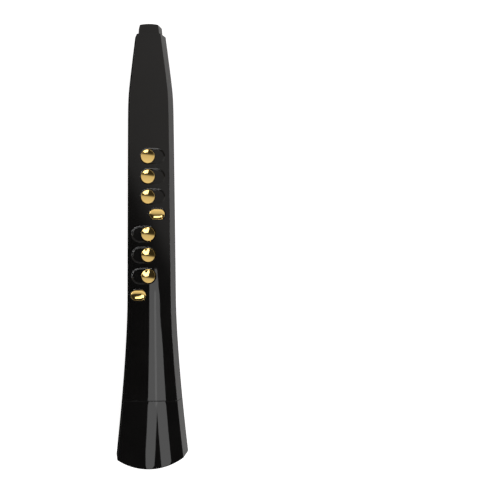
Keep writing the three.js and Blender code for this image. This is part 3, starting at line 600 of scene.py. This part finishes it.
def rods(places, radius, span):
    """Upright round bars at several places, as one tool."""
    made = []
    for x, y in places:
        bpy.ops.mesh.primitive_cylinder_add(vertices=32, radius=radius, depth=span[1] - span[0],
                                            location=(x, y, (span[0] + span[1]) / 2))
        bpy.ops.object.transform_apply(location=True)
        made.append(bpy.context.object)
    return join("rods", made)


def copy_of(piece, name):
    use(piece)
    bpy.ops.object.duplicate()
    made = bpy.context.object
    made.name = name
    return made


def slab(at, size, turn=0.0):
    """A box round a place, turned about the upright."""
    bpy.ops.mesh.primitive_cube_add(size=1, location=at, rotation=(0, 0, turn))
    made = bpy.context.object
    made.scale = size
    bpy.ops.object.transform_apply(location=True, rotation=True, scale=True)
    return made


def half_case(name, above):
    """The front or the rear half of the case, parted at the middle line."""
    half = copy_of(case, name)
    side = 0.5 if above else -0.5
    level = middle_z + side + math.copysign(middle_gap / 2, side)
    bpy.ops.mesh.primitive_cube_add(size=1, location=(0, 0, level))
    combine(half, bpy.context.object, "INTERSECT")
    return half


post_radius = 0.0027
post_root = 0.0008
board_post_radius = 0.0024
screw_shaft = 0.0011
screw_head = 0.0023
screw_gap = 0.00015
screw_hole = screw_shaft + screw_gap
board_gap = 0.0002
tool_overrun = 0.001
ceiling_z = stand_off + body_depth - wall
floor_z = stand_off + wall
post_split_z = middle_z - 0.006
screw_tip_z = middle_z + 0.006
case_screws = [f"case_screw_{i + 1}" for i in range(6)]
case_screw_places = [middle_of(name) for name in case_screws]
key_board_posts = [middle_of(f"key_board_screw_{i}") for i in (1, 2)]
main_board_posts = [middle_of(f"main_board_screw_{i}") for i in (1, 2)]
key_board_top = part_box("key_board")[1].z
main_board_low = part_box("main_board")[0].z

front = half_case("front_half", True)
post_top = ceiling_z + post_root
combine(front, rods(case_screw_places, post_radius, (post_split_z, post_top)), "UNION")
combine(front, rods(key_board_posts, board_post_radius, (key_board_top + board_gap, post_top)), "UNION")
combine(front, rods(case_screw_places, screw_hole, (post_split_z - tool_overrun, screw_tip_z)), "DIFFERENCE")
wells, holes = [], []
for name, run in round_keys.items():
    x, y = middle_of(name)
    between = (x + run / 2, y)
    well_floor = face_top - well_depth
    straight = abs(run) / 2
    rings = []
    for sine, cosine in quarter(3):
        level = well_floor + floor_round * (1 - cosine)
        rings.append(slot_ring(between, straight, well_radius - floor_round * (1 - sine), level))
    rings += mouth(between, straight, well_radius + well_slope, face_at, 1, rim_round)
    wells.append(skin("well", rings))
    holes.append(skin("hole", [slot_ring((x, y), 0, key_radius + key_gap, z)
                               for z in (ceiling_z - hole_reach, well_floor + 0.0005)]))
for name in side_keys:
    place = middle_of(name)
    radius = oval_radius + oval_well_margin
    rings = [slot_ring(place, oval_straight, inner, lambda x, y: face_at(x, y) - oval_well_depth)
             for inner in (oval_radius - 0.001, radius - 0.0002)]
    rings += mouth(place, oval_straight, radius, face_at, 1, oval_rim)
    wells.append(skin("well", rings))
    holes.append(skin("hole", [slot_ring(place, oval_straight, oval_radius + clearance, z)
                               for z in (ceiling_z - hole_reach, face_top - 0.0001)]))
combine(front, join("wells", wells), "DIFFERENCE")
combine(front, join("holes", holes), "DIFFERENCE")
smooth(front)
stand_for(front, "front_shell", gloss_black)

# The two narrow banks light the front shell alone, which keeps their streaks off the gold keys.
bank_lit = bpy.data.collections.new("bank_lit")
bank_lit.objects.link(front)
for bank in banks:
    bank.light_linking.receiver_collection = bank_lit

rear = half_case("rear_half", False)
bpy.data.objects.remove(case)
sleeve_top = post_split_z - clearance
thumb_screw_places = [middle_of(f"thumb_rest_screw_{i}") for i in (1, 2)]
for places, radius, top in ((case_screw_places, post_radius, sleeve_top),
                            (main_board_posts, board_post_radius, main_board_low - board_gap),
                            (thumb_screw_places, post_radius, main_board_low - clearance)):
    combine(rear, rods(places, radius, (floor_z - post_root, top)), "UNION")
screw_holes = rods(case_screw_places + thumb_screw_places, screw_hole, (0, sleeve_top + tool_overrun))
combine(rear, screw_holes, "DIFFERENCE")
octave_keys = ("octave_up_key", "octave_down_key")
buttons = ("power_button", "volume_up_button", "volume_down_button")
button_radius = 0.0036
lamp_radius = 0.0015
lead_straight, lead_radius = 0.0028, 0.0017
phones_radius = 0.0034
counterbore = 0.002
back_rim = 0.0003
openings = [(name, oval_straight, oval_radius) for name in octave_keys]
openings += [(name, 0, button_radius) for name in buttons]
openings += [("lamp_light_pipe", 0, lamp_radius), ("lead_socket", lead_straight, lead_radius),
             ("headphone_socket", 0, phones_radius)]
cuts = []
for name, straight, radius in openings:
    place = middle_of(name)
    rings = [slot_ring(place, straight, radius + clearance, floor_z + tool_overrun)]
    cuts.append(skin("cut", rings + mouth(place, straight, radius + clearance, back_at, -1, back_rim)))
head_hole = screw_head + screw_gap
for place in case_screw_places:
    rings = [slot_ring(place, 0, head_hole, back_at(*place) + counterbore)]
    cuts.append(skin("cut", rings + mouth(place, 0, head_hole, back_at, -1, back_rim)))
lug_thickness = 0.003
lug_length = 0.008
lug_y = middle_of("strap_lug")[1]
cuts.append(slab((0, lug_y, stand_off), (lug_thickness + 2 * clearance, lug_length + 2 * clearance, 0.01)))
combine(rear, join("cuts", cuts), "DIFFERENCE")
smooth(rear)
stand_for(rear, "rear_shell", gloss_black)

# Bell: a flared shell of the same plastic that plugs into the end of the case on a spigot. Its rim is a
# shallow arc, rounded outside and inside.
bell_wall = 0.003
bell_gap = 0.0003
rim_radius = 0.064
rim_offset = -0.002
rim_edge = 0.0006
bell_top_y = seam_y - bell_gap
spigot_root = 0.006
spigot_reach = 0.01
spigot_wall = 0.0018


def rim_line(x, beyond=0.0):
    """Where the arc of the rim lies, or a line that far beyond it."""
    return bell_end_y + rim_radius - beyond - math.sqrt(rim_radius**2 - (x - rim_offset) ** 2)


bell = six_sided("bell", rim_line, bell_top_y, body_section, columns=24, station=0.004)
round_body(bell, bell_top_y)
combine(bell, six_sided("bell_hollow", lambda x: rim_line(x, 2 * tool_overrun), bell_top_y + tool_overrun,
                        lambda y: body_section(y, bell_wall), columns=24), "DIFFERENCE")
round_edges(bell, (lambda edge: fold(edge) > 1 and all(
    abs(end.co.y - rim_line(end.co.x)) < 2e-5 for end in edge.verts), rim_edge, 3))
spigot_low, spigot_high = seam_y - spigot_root, seam_y + spigot_reach
spigot = six_sided("spigot", spigot_low, spigot_high, lambda y: body_section(y, wall + clearance))
combine(spigot, six_sided("spigot_hollow", spigot_low - tool_overrun, spigot_high + tool_overrun,
                          lambda y: body_section(y, wall + clearance + spigot_wall)), "DIFFERENCE")
combine(bell, spigot, "UNION")
smooth(bell)
stand_for(bell, "bell_shell", gloss_black)


def lay(piece, rotation, location):
    """Turns a piece about the origin, then moves it, and leaves its object unturned at the origin."""
    use(piece)
    piece.rotation_euler = rotation
    piece.location = location
    bpy.ops.object.transform_apply(location=True, rotation=True)
    return piece


def shares(steps):
    """Even shares on the way from 1 down to 0."""
    return [1 - i / steps for i in range(1, steps)]


def turned(name, profile, steps=48, tube=False):
    """A turned piece that stands on the origin, from radii and heights."""
    return skin(name, [slot_ring((0, 0), 0, radius, z, steps) for radius, z in profile], tube)


def set_in(piece, node_name, material, body="case", down=False):
    """Stands a piece made upright on the origin in the place of its CAD node, head up or head down."""
    low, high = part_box(node_name)
    lay(piece, (math.pi if down else 0, 0, 0), (*middle_of(node_name), high.z if down else low.z))
    stand_for(piece, node_name, material, body)


# Satin black plastic: the thumb rest, buttons, grille and inner mouldings, with a fine eroded grain.
satin_black, tree = new_material("satin_black")
worn = grain(tree, 60, 5.0)
finished(tree, Base_Color=mixed(tree, worn, (0.011, 0.011, 0.0115), (0.02, 0.02, 0.021)),
         Roughness=ranged(tree, worn, 0.4, 0.56), IOR=1.5,
         Normal=bumped(tree, grain(tree, 2600, 2.0), 0.25, 0.00008))

# Speaker grille: a flat moulded plate with seven upright slots, set inside the bell.
grille_low, grille_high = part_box("speaker_grille")
slot_count = 7
slot_pitch = 0.005
slot_half_width = 0.0012
slot_half_height = 0.0135
grille_inset = bell_wall + clearance
grille = six_sided("grille", grille_low.y, grille_high.y, lambda y: body_section(y, grille_inset))
driver_low, driver_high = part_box("speaker_driver")
speaker_z = (driver_low.z + driver_high.z) / 2
grille_y = (grille_low.y + grille_high.y) / 2
slots = []
for i in range(slot_count):
    slot = skin("slot", [slot_ring((0, 0), slot_half_height - slot_half_width, slot_half_width + grown, z, 32)
                         for z, grown in ((-0.004, 0.0006), (-0.001, 0.0006), (-0.0006, 0), (0.004, 0))])
    x = slot_pitch * (i - (slot_count - 1) / 2)
    slots.append(lay(slot, (0, -math.pi / 2, -math.pi / 2), (x, grille_y, speaker_z)))
combine(grille, join("slots", slots), "DIFFERENCE")
smooth(grille)
stand_for(grille, "speaker_grille", satin_black)

# Speaker: a steel basket and magnet behind, and a pressed paper cone with its roll in front. It sits on a
# foam ring behind the grille.
driver_radius = (driver_high.x - driver_low.x) / 2
driver_depth = driver_high.y - driver_low.y
magnet_radius = 0.011
magnet_depth = 0.006
flange = 0.0015
basket_lip = 0.0009
roll_outer, roll_inner, roll_rise = 0.0165, 0.0135, 0.0009
cap_radius, cap_rise, cone_depth = 0.0052, 0.0018, 0.0045
face = driver_depth - basket_lip
driver_place = ((driver_low.x + driver_high.x) / 2, driver_high.y, speaker_z)
profile = [(magnet_radius - 0.0005, 0), (magnet_radius, 0.0005), (magnet_radius, magnet_depth),
           (magnet_radius + 0.001, magnet_depth + 0.0004),
           (driver_radius - 0.0012, driver_depth - flange - 0.0006),
           (driver_radius - 0.0004, driver_depth - flange), (driver_radius, driver_depth - flange + 0.0002),
           (driver_radius, driver_depth - 0.0011), (driver_radius - 0.0003, face), (roll_outer, face)]
basket = turned("basket", profile, 64)
smooth(lay(basket, (math.pi / 2, 0, 0), driver_place))
dark_steel, tree = new_material("dark_steel")
scuffs = grain(tree, 240, 4.0)
finished(tree, Base_Color=mixed(tree, scuffs, (0.045, 0.046, 0.05), (0.075, 0.076, 0.08)), Metallic=0.85,
         Roughness=ranged(tree, scuffs, 0.3, 0.5), Normal=bumped(tree, grain(tree, 1500, 2.0), 0.12, 0.00005))
stand_for(basket, "speaker_driver", dark_steel)
cone_profile = []
for i in range(7):
    turn = math.pi * i / 6
    cone_profile.append((roll_outer - (roll_outer - roll_inner) * (1 - math.cos(turn)) / 2,
                         face + roll_rise * math.sin(turn)))
cone_profile += [(roll_inner - (roll_inner - cap_radius) * share, face - cone_depth * share**0.8)
                 for share in (0.2, 0.4, 0.6, 0.8, 1.0)]
cone_profile += [(cap_radius * cosine + 0.0002, face - cone_depth + cap_rise * sine)
                 for sine, cosine in quarter(5)[1:]]
cone = turned("cone", [(roll_outer - 0.0001, driver_depth - 0.007)] + cone_profile, 64)
smooth(lay(cone, (math.pi / 2, 0, 0), driver_place))
paper, tree = new_material("speaker_paper")
pulp = grain(tree, 900, 5.0, 0.6)
finished(tree, Base_Color=mixed(tree, pulp, (0.012, 0.012, 0.012), (0.03, 0.029, 0.028)),
         Roughness=0.85, Normal=bumped(tree, pulp, 0.4, 0.0001))
cone.name = "speaker_cone"
cone.data.materials.clear()
cone.data.materials.append(paper)
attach(cone, "case")


def refinish(node_names, material):
    """Gives CAD nodes that keep their shape a better material."""
    for name in node_names:
        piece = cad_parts[name]
        if not piece.material_slots:
            piece.data.materials.append(material)
        for place in piece.material_slots:
            place.material = material


foam, tree = new_material("foam")
cells = node(tree, "ShaderNodeTexVoronoi", {"Vector": own(tree), "Scale": 1500.0}).outputs["Distance"]
finished(tree, Base_Color=mixed(tree, cells, (0.012, 0.012, 0.012), (0.04, 0.04, 0.04)), Roughness=0.95,
         Normal=bumped(tree, cells, 0.7, 0.0003))
refinish(["speaker_gasket"], foam)

# Breath way: a soft silicone tube carries the air from the tenon down to a moulded sensor on the
# main board.
silicone, tree = new_material("silicone")
cloud = grain(tree, 130, 3.0)
finished(tree, Base_Color=mixed(tree, cloud, (0.58, 0.58, 0.54), (0.68, 0.68, 0.65)),
         Roughness=ranged(tree, cloud, 0.5, 0.66), Normal=bumped(tree, grain(tree, 900, 2.0), 0.15, 0.00005),
         Subsurface_Weight=0.25, Subsurface_Radius=(0.004, 0.004, 0.003), Subsurface_Scale=0.5)
refinish(["breath_tube"], silicone)
refinish(["breath_sensor"], satin_black)

# Boards: green solder mask over copper, whose tracks show as a faint pattern, and the black ribbon that
# folds from one board to the other.
circuit_board, tree = new_material("circuit_board")
tracks = node(tree, "ShaderNodeTexBrick", {
    "Vector": own(tree), "Color1": (0.012, 0.1, 0.035, 1), "Color2": (0.016, 0.12, 0.045, 1),
    "Mortar": (0.04, 0.22, 0.09, 1), "Scale": 260.0, "Mortar Size": 0.06})
finished(tree, Base_Color=tracks.outputs["Color"], Roughness=ranged(tree, grain(tree, 90), 0.28, 0.42),
         Normal=bumped(tree, tracks.outputs["Fac"], 0.3, 0.00004))
refinish(["key_board", "main_board"], circuit_board)
ribbon, tree = new_material("ribbon")
cores = node(tree, "ShaderNodeTexWave", {
    "Vector": own(tree), "Scale": 320.0, "Distortion": 0.0}, bands_direction="X").outputs["Fac"]
finished(tree, Base_Color=mixed(tree, cores, (0.03, 0.03, 0.03), (0.06, 0.06, 0.06)), Roughness=0.5,
         Normal=bumped(tree, cores, 0.5, 0.0001))
refinish(["board_ribbon"], ribbon)

# Battery: a lithium cell in a blue sleeve, in a moulded cradle on the rear shell.
cell_can, tree = new_material("cell_can")
wrap = grain(tree, 45, 4.0)
finished(tree, Base_Color=mixed(tree, wrap, (0.02, 0.08, 0.25), (0.035, 0.12, 0.33)),
         Roughness=ranged(tree, wrap, 0.25, 0.4), Normal=bumped(tree, wrap, 0.2, 0.0002))
refinish(["battery_cell"], cell_can)
refinish(["battery_cradle"], satin_black)

# Gold keys: moulded caps, plated and polished. A round one is dished inside a rolled rim, and its flange
# keeps it in the case.
gold, tree = new_material("gold")
swirl = grain(tree, 150, 5.0, 0.6)
finished(tree, Base_Color=mixed(tree, swirl, (1.0, 0.72, 0.26), (0.99, 0.69, 0.235)), Metallic=1.0,
         Roughness=ranged(tree, swirl, 0.02, 0.045), Normal=bumped(tree, grain(tree, 70, 1.0), 0.05, 0.0002))
key_height = height_of("upper_key_1")
key_flange = 0.0012
key_flange_reach = 0.0012
key_dish = 0.00046
key_rim = 0.00013
key_rim_fall = 0.00018
key_foot_round = 0.0002
profile = [(key_radius + key_flange_reach, 0), (key_radius + key_flange_reach, key_flange),
           (key_radius + key_foot_round, key_flange), (key_radius, key_flange + key_foot_round)]
profile += [(key_radius - key_rim * (1 - cosine), key_height - key_rim_fall * (1 - sine))
            for sine, cosine in quarter(8)]
dish_radius = key_radius - key_rim
profile += [(dish_radius * share, key_height - key_dish * (1 - share**2)) for share in shares(25)]
round_key = turned("round_key", profile, 96)
smooth(round_key, weighted=False)
for name in round_keys:
    set_in(copy_of(round_key, name), name, gold, name)
bpy.data.objects.remove(round_key)

# Side and octave keys: plated like the round ones, but oval and domed. Their flanges reach out along the
# instrument. The octave keys stand face down in the rear shell, under the thumb.
oval_crown = 0.0011
crown_bend = 2 / 2.9
oval_flange_setback = 0.0024
for name in side_keys + octave_keys:
    height = height_of(name)
    levels = [(oval_radius, 0.0)]
    levels += [(oval_radius * cosine**crown_bend, height - oval_crown * (1 - sine**crown_bend))
               for sine, cosine in quarter(14)[:-1]]
    levels.append((oval_radius * 0.06, height))
    cap = skin("oval_cap", [slot_ring((0, 0), oval_straight, radius, z, 96) for radius, z in levels])
    foot = slab((0, 0, key_flange / 2), (2 * (oval_straight + oval_radius - oval_flange_setback),
                                         2 * (oval_radius + key_flange_reach + clearance), key_flange))
    combine(cap, foot, "UNION")
    smooth(cap, weighted=False)
    set_in(cap, name, gold, name, name in octave_keys)

# Domes: a thin silicone cup stands under each key on its board.
dome_radius = 0.0027
dome_top = 0.0017
dome_wall = 0.0006
for name in [*round_keys, *side_keys, *octave_keys]:
    low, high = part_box(name + "_dome")
    height = high.z - low.z
    dome = turned("dome", [(0.0002, height - dome_wall), (dome_top - dome_wall, height - dome_wall),
                           (dome_radius - dome_wall, 0), (dome_radius, 0), (dome_radius, dome_wall),
                           (dome_top + 0.0002, height - 0.0003), (dome_top - 0.0002, height),
                           (0.0002, height)], 32)
    smooth(dome, weighted=False)
    down = name in octave_keys
    foot_z = high.z if down else low.z
    lay(dome, (math.pi if down else 0, 0, 0), (*middle_of(name), foot_z))
    stand_for(dome, name + "_dome", silicone)
    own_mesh(dome)

# Buttons: three small satin caps under the lower end of the neck, on tact switches. Raised bars tell volume
# up from volume down by touch, and a ring marks the power button.
mark_rise = 0.00015
mark_width = 0.0006
mark_length = 0.0026
mark_ring_outer, mark_ring_inner, mark_ring_root = 0.0013, 0.0009, 0.0004
button_crown = 0.0002
button_edge = 0.00045
button_flange = button_radius + 0.0011
for name in buttons:
    top = height_of(name) - mark_rise
    profile = [(button_flange, 0), (button_flange, 0.001), (button_radius, 0.001)]
    profile += [(button_radius - button_edge * (1 - cosine), top - button_crown - button_edge * (1 - sine))
                for sine, cosine in quarter(5)]
    profile += [((button_radius - button_edge) * share, top - button_crown * share**2) for share in shares(8)]
    cap = turned("button_cap", profile, 64)
    if name == "power_button":
        low, high = top - mark_ring_root, top + mark_rise
        section = [(mark_ring_outer, low), (mark_ring_outer, high),
                   (mark_ring_inner, high), (mark_ring_inner, low)]
        combine(cap, turned("power_ring", section, tube=True), "UNION")
    else:
        combine(cap, slab((0, 0, top), (mark_length, mark_width, 2 * mark_rise)), "UNION")
        if name == "volume_up_button":
            combine(cap, slab((0, 0, top), (mark_width, mark_length, 2 * mark_rise)), "UNION")
    smooth(cap)
    set_in(cap, name, satin_black, name, True)
refinish([name.replace("button", "switch") for name in buttons], dark_steel)

# Lamp: a clear light pipe, flush with the back, brings the light of the status lamp out from the board.
clear_plastic, tree = new_material("clear_plastic")
finished(tree, Base_Color=mixed(tree, grain(tree, 200), (0.8, 0.84, 0.86), (0.9, 0.93, 0.94)), IOR=1.49,
         Roughness=ranged(tree, grain(tree, 400), 0.08, 0.2), Transmission_Weight=0.9)
pipe_flange = 0.0008
pipe_foot = floor_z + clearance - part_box("lamp_light_pipe")[0].z
pipe = turned("pipe", [(lamp_radius - 0.0006, 0), (lamp_radius - 0.0002, 0.0001), (lamp_radius, 0.0004),
                       (lamp_radius, pipe_foot), (lamp_radius + pipe_flange, pipe_foot),
                       (lamp_radius + pipe_flange, pipe_foot + pipe_flange),
                       (lamp_radius, pipe_foot + pipe_flange),
                       (lamp_radius, height_of("lamp_light_pipe"))], 32)
smooth(pipe)
set_in(pipe, "lamp_light_pipe", clear_plastic)

# Sockets: the one for the lead is a drawn steel shell round a black tongue, the one for headphones a dark
# steel barrel. Both stand behind holes in the rear shell.
steel, tree = new_material("steel")
stretched = node(tree, "ShaderNodeMapping", {"Vector": own(tree), "Scale": (1, 1, 12)}).outputs[0]
brushed = node(tree, "ShaderNodeTexNoise", {
    "Vector": stretched, "Scale": 700.0, "Detail": 4.0}).outputs["Fac"]
finished(tree, Base_Color=mixed(tree, brushed, (0.52, 0.53, 0.55), (0.66, 0.67, 0.69)), Metallic=1.0,
         Roughness=ranged(tree, brushed, 0.18, 0.34), Normal=bumped(tree, brushed, 0.08, 0.00003))
socket_shell = 0.0004
socket_depth = 0.0046
inner_radius = lead_radius - socket_shell
height = height_of("lead_socket")
rings = [slot_ring((0, 0), lead_straight, radius, z) for radius, z in (
    (0.0002, socket_depth), (inner_radius, socket_depth), (inner_radius, 0.0003),
    (inner_radius + 0.0001, 0.0001), (inner_radius + 0.0002, 0), (lead_radius - 0.0001, 0),
    (lead_radius, 0.0001), (lead_radius, height), (0.0002, height))]
lead_shell = skin("lead_shell", rings)
smooth(lead_shell)
set_in(lead_shell, "lead_socket", steel)
tongue_size = (2 * lead_straight, 0.0007, 0.0036)
tongue_level = 0.0032
tongue = slab((*middle_of("lead_socket"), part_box("lead_socket")[0].z + tongue_level), tongue_size)
round_edges(tongue, (lambda edge: abs(along(edge).x) > 0.5, 0.00015, 2))
smooth(tongue)
tongue.name = "lead_socket_tongue"
tongue.data.materials.clear()
tongue.data.materials.append(satin_black)
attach(tongue, "case")

phones_bore = 0.0018
height = height_of("headphone_socket")
barrel = turned("barrel", [(0.0002, socket_depth), (phones_bore, socket_depth), (phones_bore, 0.0004),
                           (phones_bore + 0.0003, 0.0001), (phones_bore + 0.0005, 0),
                           (phones_radius - 0.0002, 0), (phones_radius, 0.0002), (phones_radius, height),
                           (0.0002, height)], 64)
smooth(barrel)
set_in(barrel, "headphone_socket", dark_steel)

# Thumb rest: a moulded hook, screwed to the back under the lower hand. Its foot is flat, and the
# instrument stands on it.
rest_low, rest_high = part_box("thumb_rest")
rest_middle = middle_of("thumb_rest_screw_1")[1]
rest_width = rest_high.x - rest_low.x
rest_plate = 0.002
rest_length = 0.02
rest_blade = 0.005
rest_lip = 0.009
rest_round = 0.0005


def highest(edge):
    """Level of the higher end of an edge."""
    return max(end.co.z for end in edge.verts)


def bend(start, corner, end, steps=8):
    """Points of a curve from one place to another that is drawn towards a corner."""
    made = []
    for i in range(steps + 1):
        share = i / steps
        made.append(tuple((1 - share) ** 2 * a + 2 * share * (1 - share) * b + share**2 * c
                          for a, b, c in zip(start, corner, end)))
    return made


back_y, front_y = rest_middle + rest_length / 2, rest_middle - rest_length / 2
plate_z = rest_high.z - rest_plate
lip_y = front_y - rest_lip / 2
blade_y = front_y + rest_blade
outline = [(back_y, rest_high.z), (front_y, rest_high.z)]
outline += bend((front_y, plate_z), (front_y, rest_plate), (lip_y, rest_plate))
outline += bend((lip_y, rest_plate), (lip_y - rest_plate / 4, rest_plate / 2), (lip_y, 0), 4)[1:-1]
outline += [(lip_y, 0)]
outline += bend((blade_y - rest_blade / 2, 0), (blade_y, 0), (blade_y, rest_plate), 6)
outline += bend((blade_y, plate_z - rest_plate), (blade_y, plate_z), (blade_y + rest_plate, plate_z), 6)
outline += [(back_y, plate_z)]
bpy.ops.mesh.primitive_circle_add(vertices=len(outline), fill_type="NGON", enter_editmode=False)
rest = bpy.context.object
for corner, (y, z) in zip(rest.data.vertices, outline):
    corner.co = (-rest_width / 2, y, z)
bpy.ops.object.mode_set(mode="EDIT")
bpy.ops.mesh.select_all(action="SELECT")
bpy.ops.mesh.extrude_region_move(TRANSFORM_OT_translate={"value": (rest_width, 0, 0)})
bpy.ops.mesh.select_all(action="SELECT")
bpy.ops.mesh.normals_make_consistent(inside=False)
bpy.ops.object.mode_set(mode="OBJECT")
round_edges(rest, (lambda edge: fold(edge) > 0.9 and highest(edge) < rest_high.z - 0.0001, rest_round, 3))
screw_holes = rods(thumb_screw_places, screw_hole, (plate_z - tool_overrun, rest_high.z + tool_overrun))
combine(rest, screw_holes, "DIFFERENCE")
smooth(rest)
stand_for(rest, "thumb_rest", satin_black)

# Strap lug: a pressed steel eye that comes out through the back from inside, where a flange holds it.
lug_z = 0.007
lug_edge = 0.0004
eye_radius = 0.0018
lug_flange = 0.0014
lug_flange_reach = 0.0022
lug_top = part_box("strap_lug")[1].z
bpy.ops.mesh.primitive_cylinder_add(vertices=64, radius=lug_length / 2, depth=lug_thickness,
                                    location=(0, lug_y, lug_z), rotation=(0, math.pi / 2, 0))
lug = bpy.context.object
bpy.ops.object.transform_apply(location=True, rotation=True)
flange_middle = lug_top - lug_flange / 2
neck = slab((0, lug_y, (lug_z + flange_middle) / 2), (lug_thickness, lug_length, flange_middle - lug_z))
combine(lug, neck, "UNION")
bpy.ops.mesh.primitive_cylinder_add(vertices=48, radius=eye_radius, depth=0.01,
                                    location=(0, lug_y, lug_z), rotation=(0, math.pi / 2, 0))
combine(lug, bpy.context.object, "DIFFERENCE")
round_edges(lug, (lambda edge: fold(edge) > 1 and highest(edge) < stand_off, lug_edge, 3))
combine(lug, slab((0, lug_y, flange_middle), (
    lug_thickness + 2 * lug_flange_reach, lug_length + 2 * lug_flange_reach, lug_flange)), "UNION")
smooth(lug)
stand_for(lug, "strap_lug", steel)

# Strap ring: a loose welded ring of steel wire through the eye, for the clip of a neck strap.
ring_low, ring_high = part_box("strap_ring")
ring_radius = 0.007
ring_wire = 0.001
ring_table_gap = 0.00015
weld_rise, weld_spread = 0.00012, 0.0009
ring_fall = lug_z - ring_wire - ring_table_gap
ring_tilt = math.asin(ring_fall / (2 * ring_radius))
bpy.ops.mesh.primitive_torus_add(major_radius=ring_radius, minor_radius=ring_wire, major_segments=96,
                                 minor_segments=24)
ring = bpy.context.object
for corner in ring.data.vertices:
    if corner.co.y < 0:
        bead = weld_rise * math.exp(-((corner.co.x / weld_spread) ** 2))
        centre = Vector((corner.co.x, corner.co.y, 0)).normalized() * ring_radius
        corner.co += (corner.co - centre).normalized() * bead
bpy.ops.object.shade_smooth()
lay(ring, (ring_tilt, 0, 0), (ring_low + ring_high) / 2)
stand_for(ring, "strap_ring", steel, "strap_ring")


def screw(head, head_height, shaft, length):
    """A pan-head screw with a cross recess, head up, that ends at the origin."""
    seat = length - head_height
    profile = [(shaft * 0.5, 0), (shaft, 0.0006), (shaft, seat), (head, seat)]
    profile.append((head, seat + 0.3 * head_height))
    profile += [(head * cosine**0.8, seat + head_height * (0.3 + 0.7 * sine))
                for sine, cosine in quarter(8)[1:-1]]
    made = turned("screw", profile, 40)
    for turn in (0, math.pi / 2):
        combine(made, slab((0, 0, length), (1.15 * head, 0.24 * head, 1.1 * head_height), turn), "DIFFERENCE")
    smooth(made)
    return made


# Screws: plated steel, with a cross recess. Six hold the case, two the thumb rest, and two each board.
screw_kinds = (
    (case_screws, True, screw_head, 0.0015, screw_shaft),
    (["thumb_rest_screw_1", "thumb_rest_screw_2"], True, screw_head, 0.0015, screw_shaft),
    (["key_board_screw_1", "key_board_screw_2"], True, 0.0018, 0.001, 0.0008),
    (["main_board_screw_1", "main_board_screw_2"], False, 0.0018, 0.001, 0.0008),
)
for names, down, head, head_height, shaft in screw_kinds:
    model = screw(head, head_height, shaft, height_of(names[0]))
    for name in names:
        set_in(copy_of(model, name), name, steel, down=down)
    bpy.data.objects.remove(model)
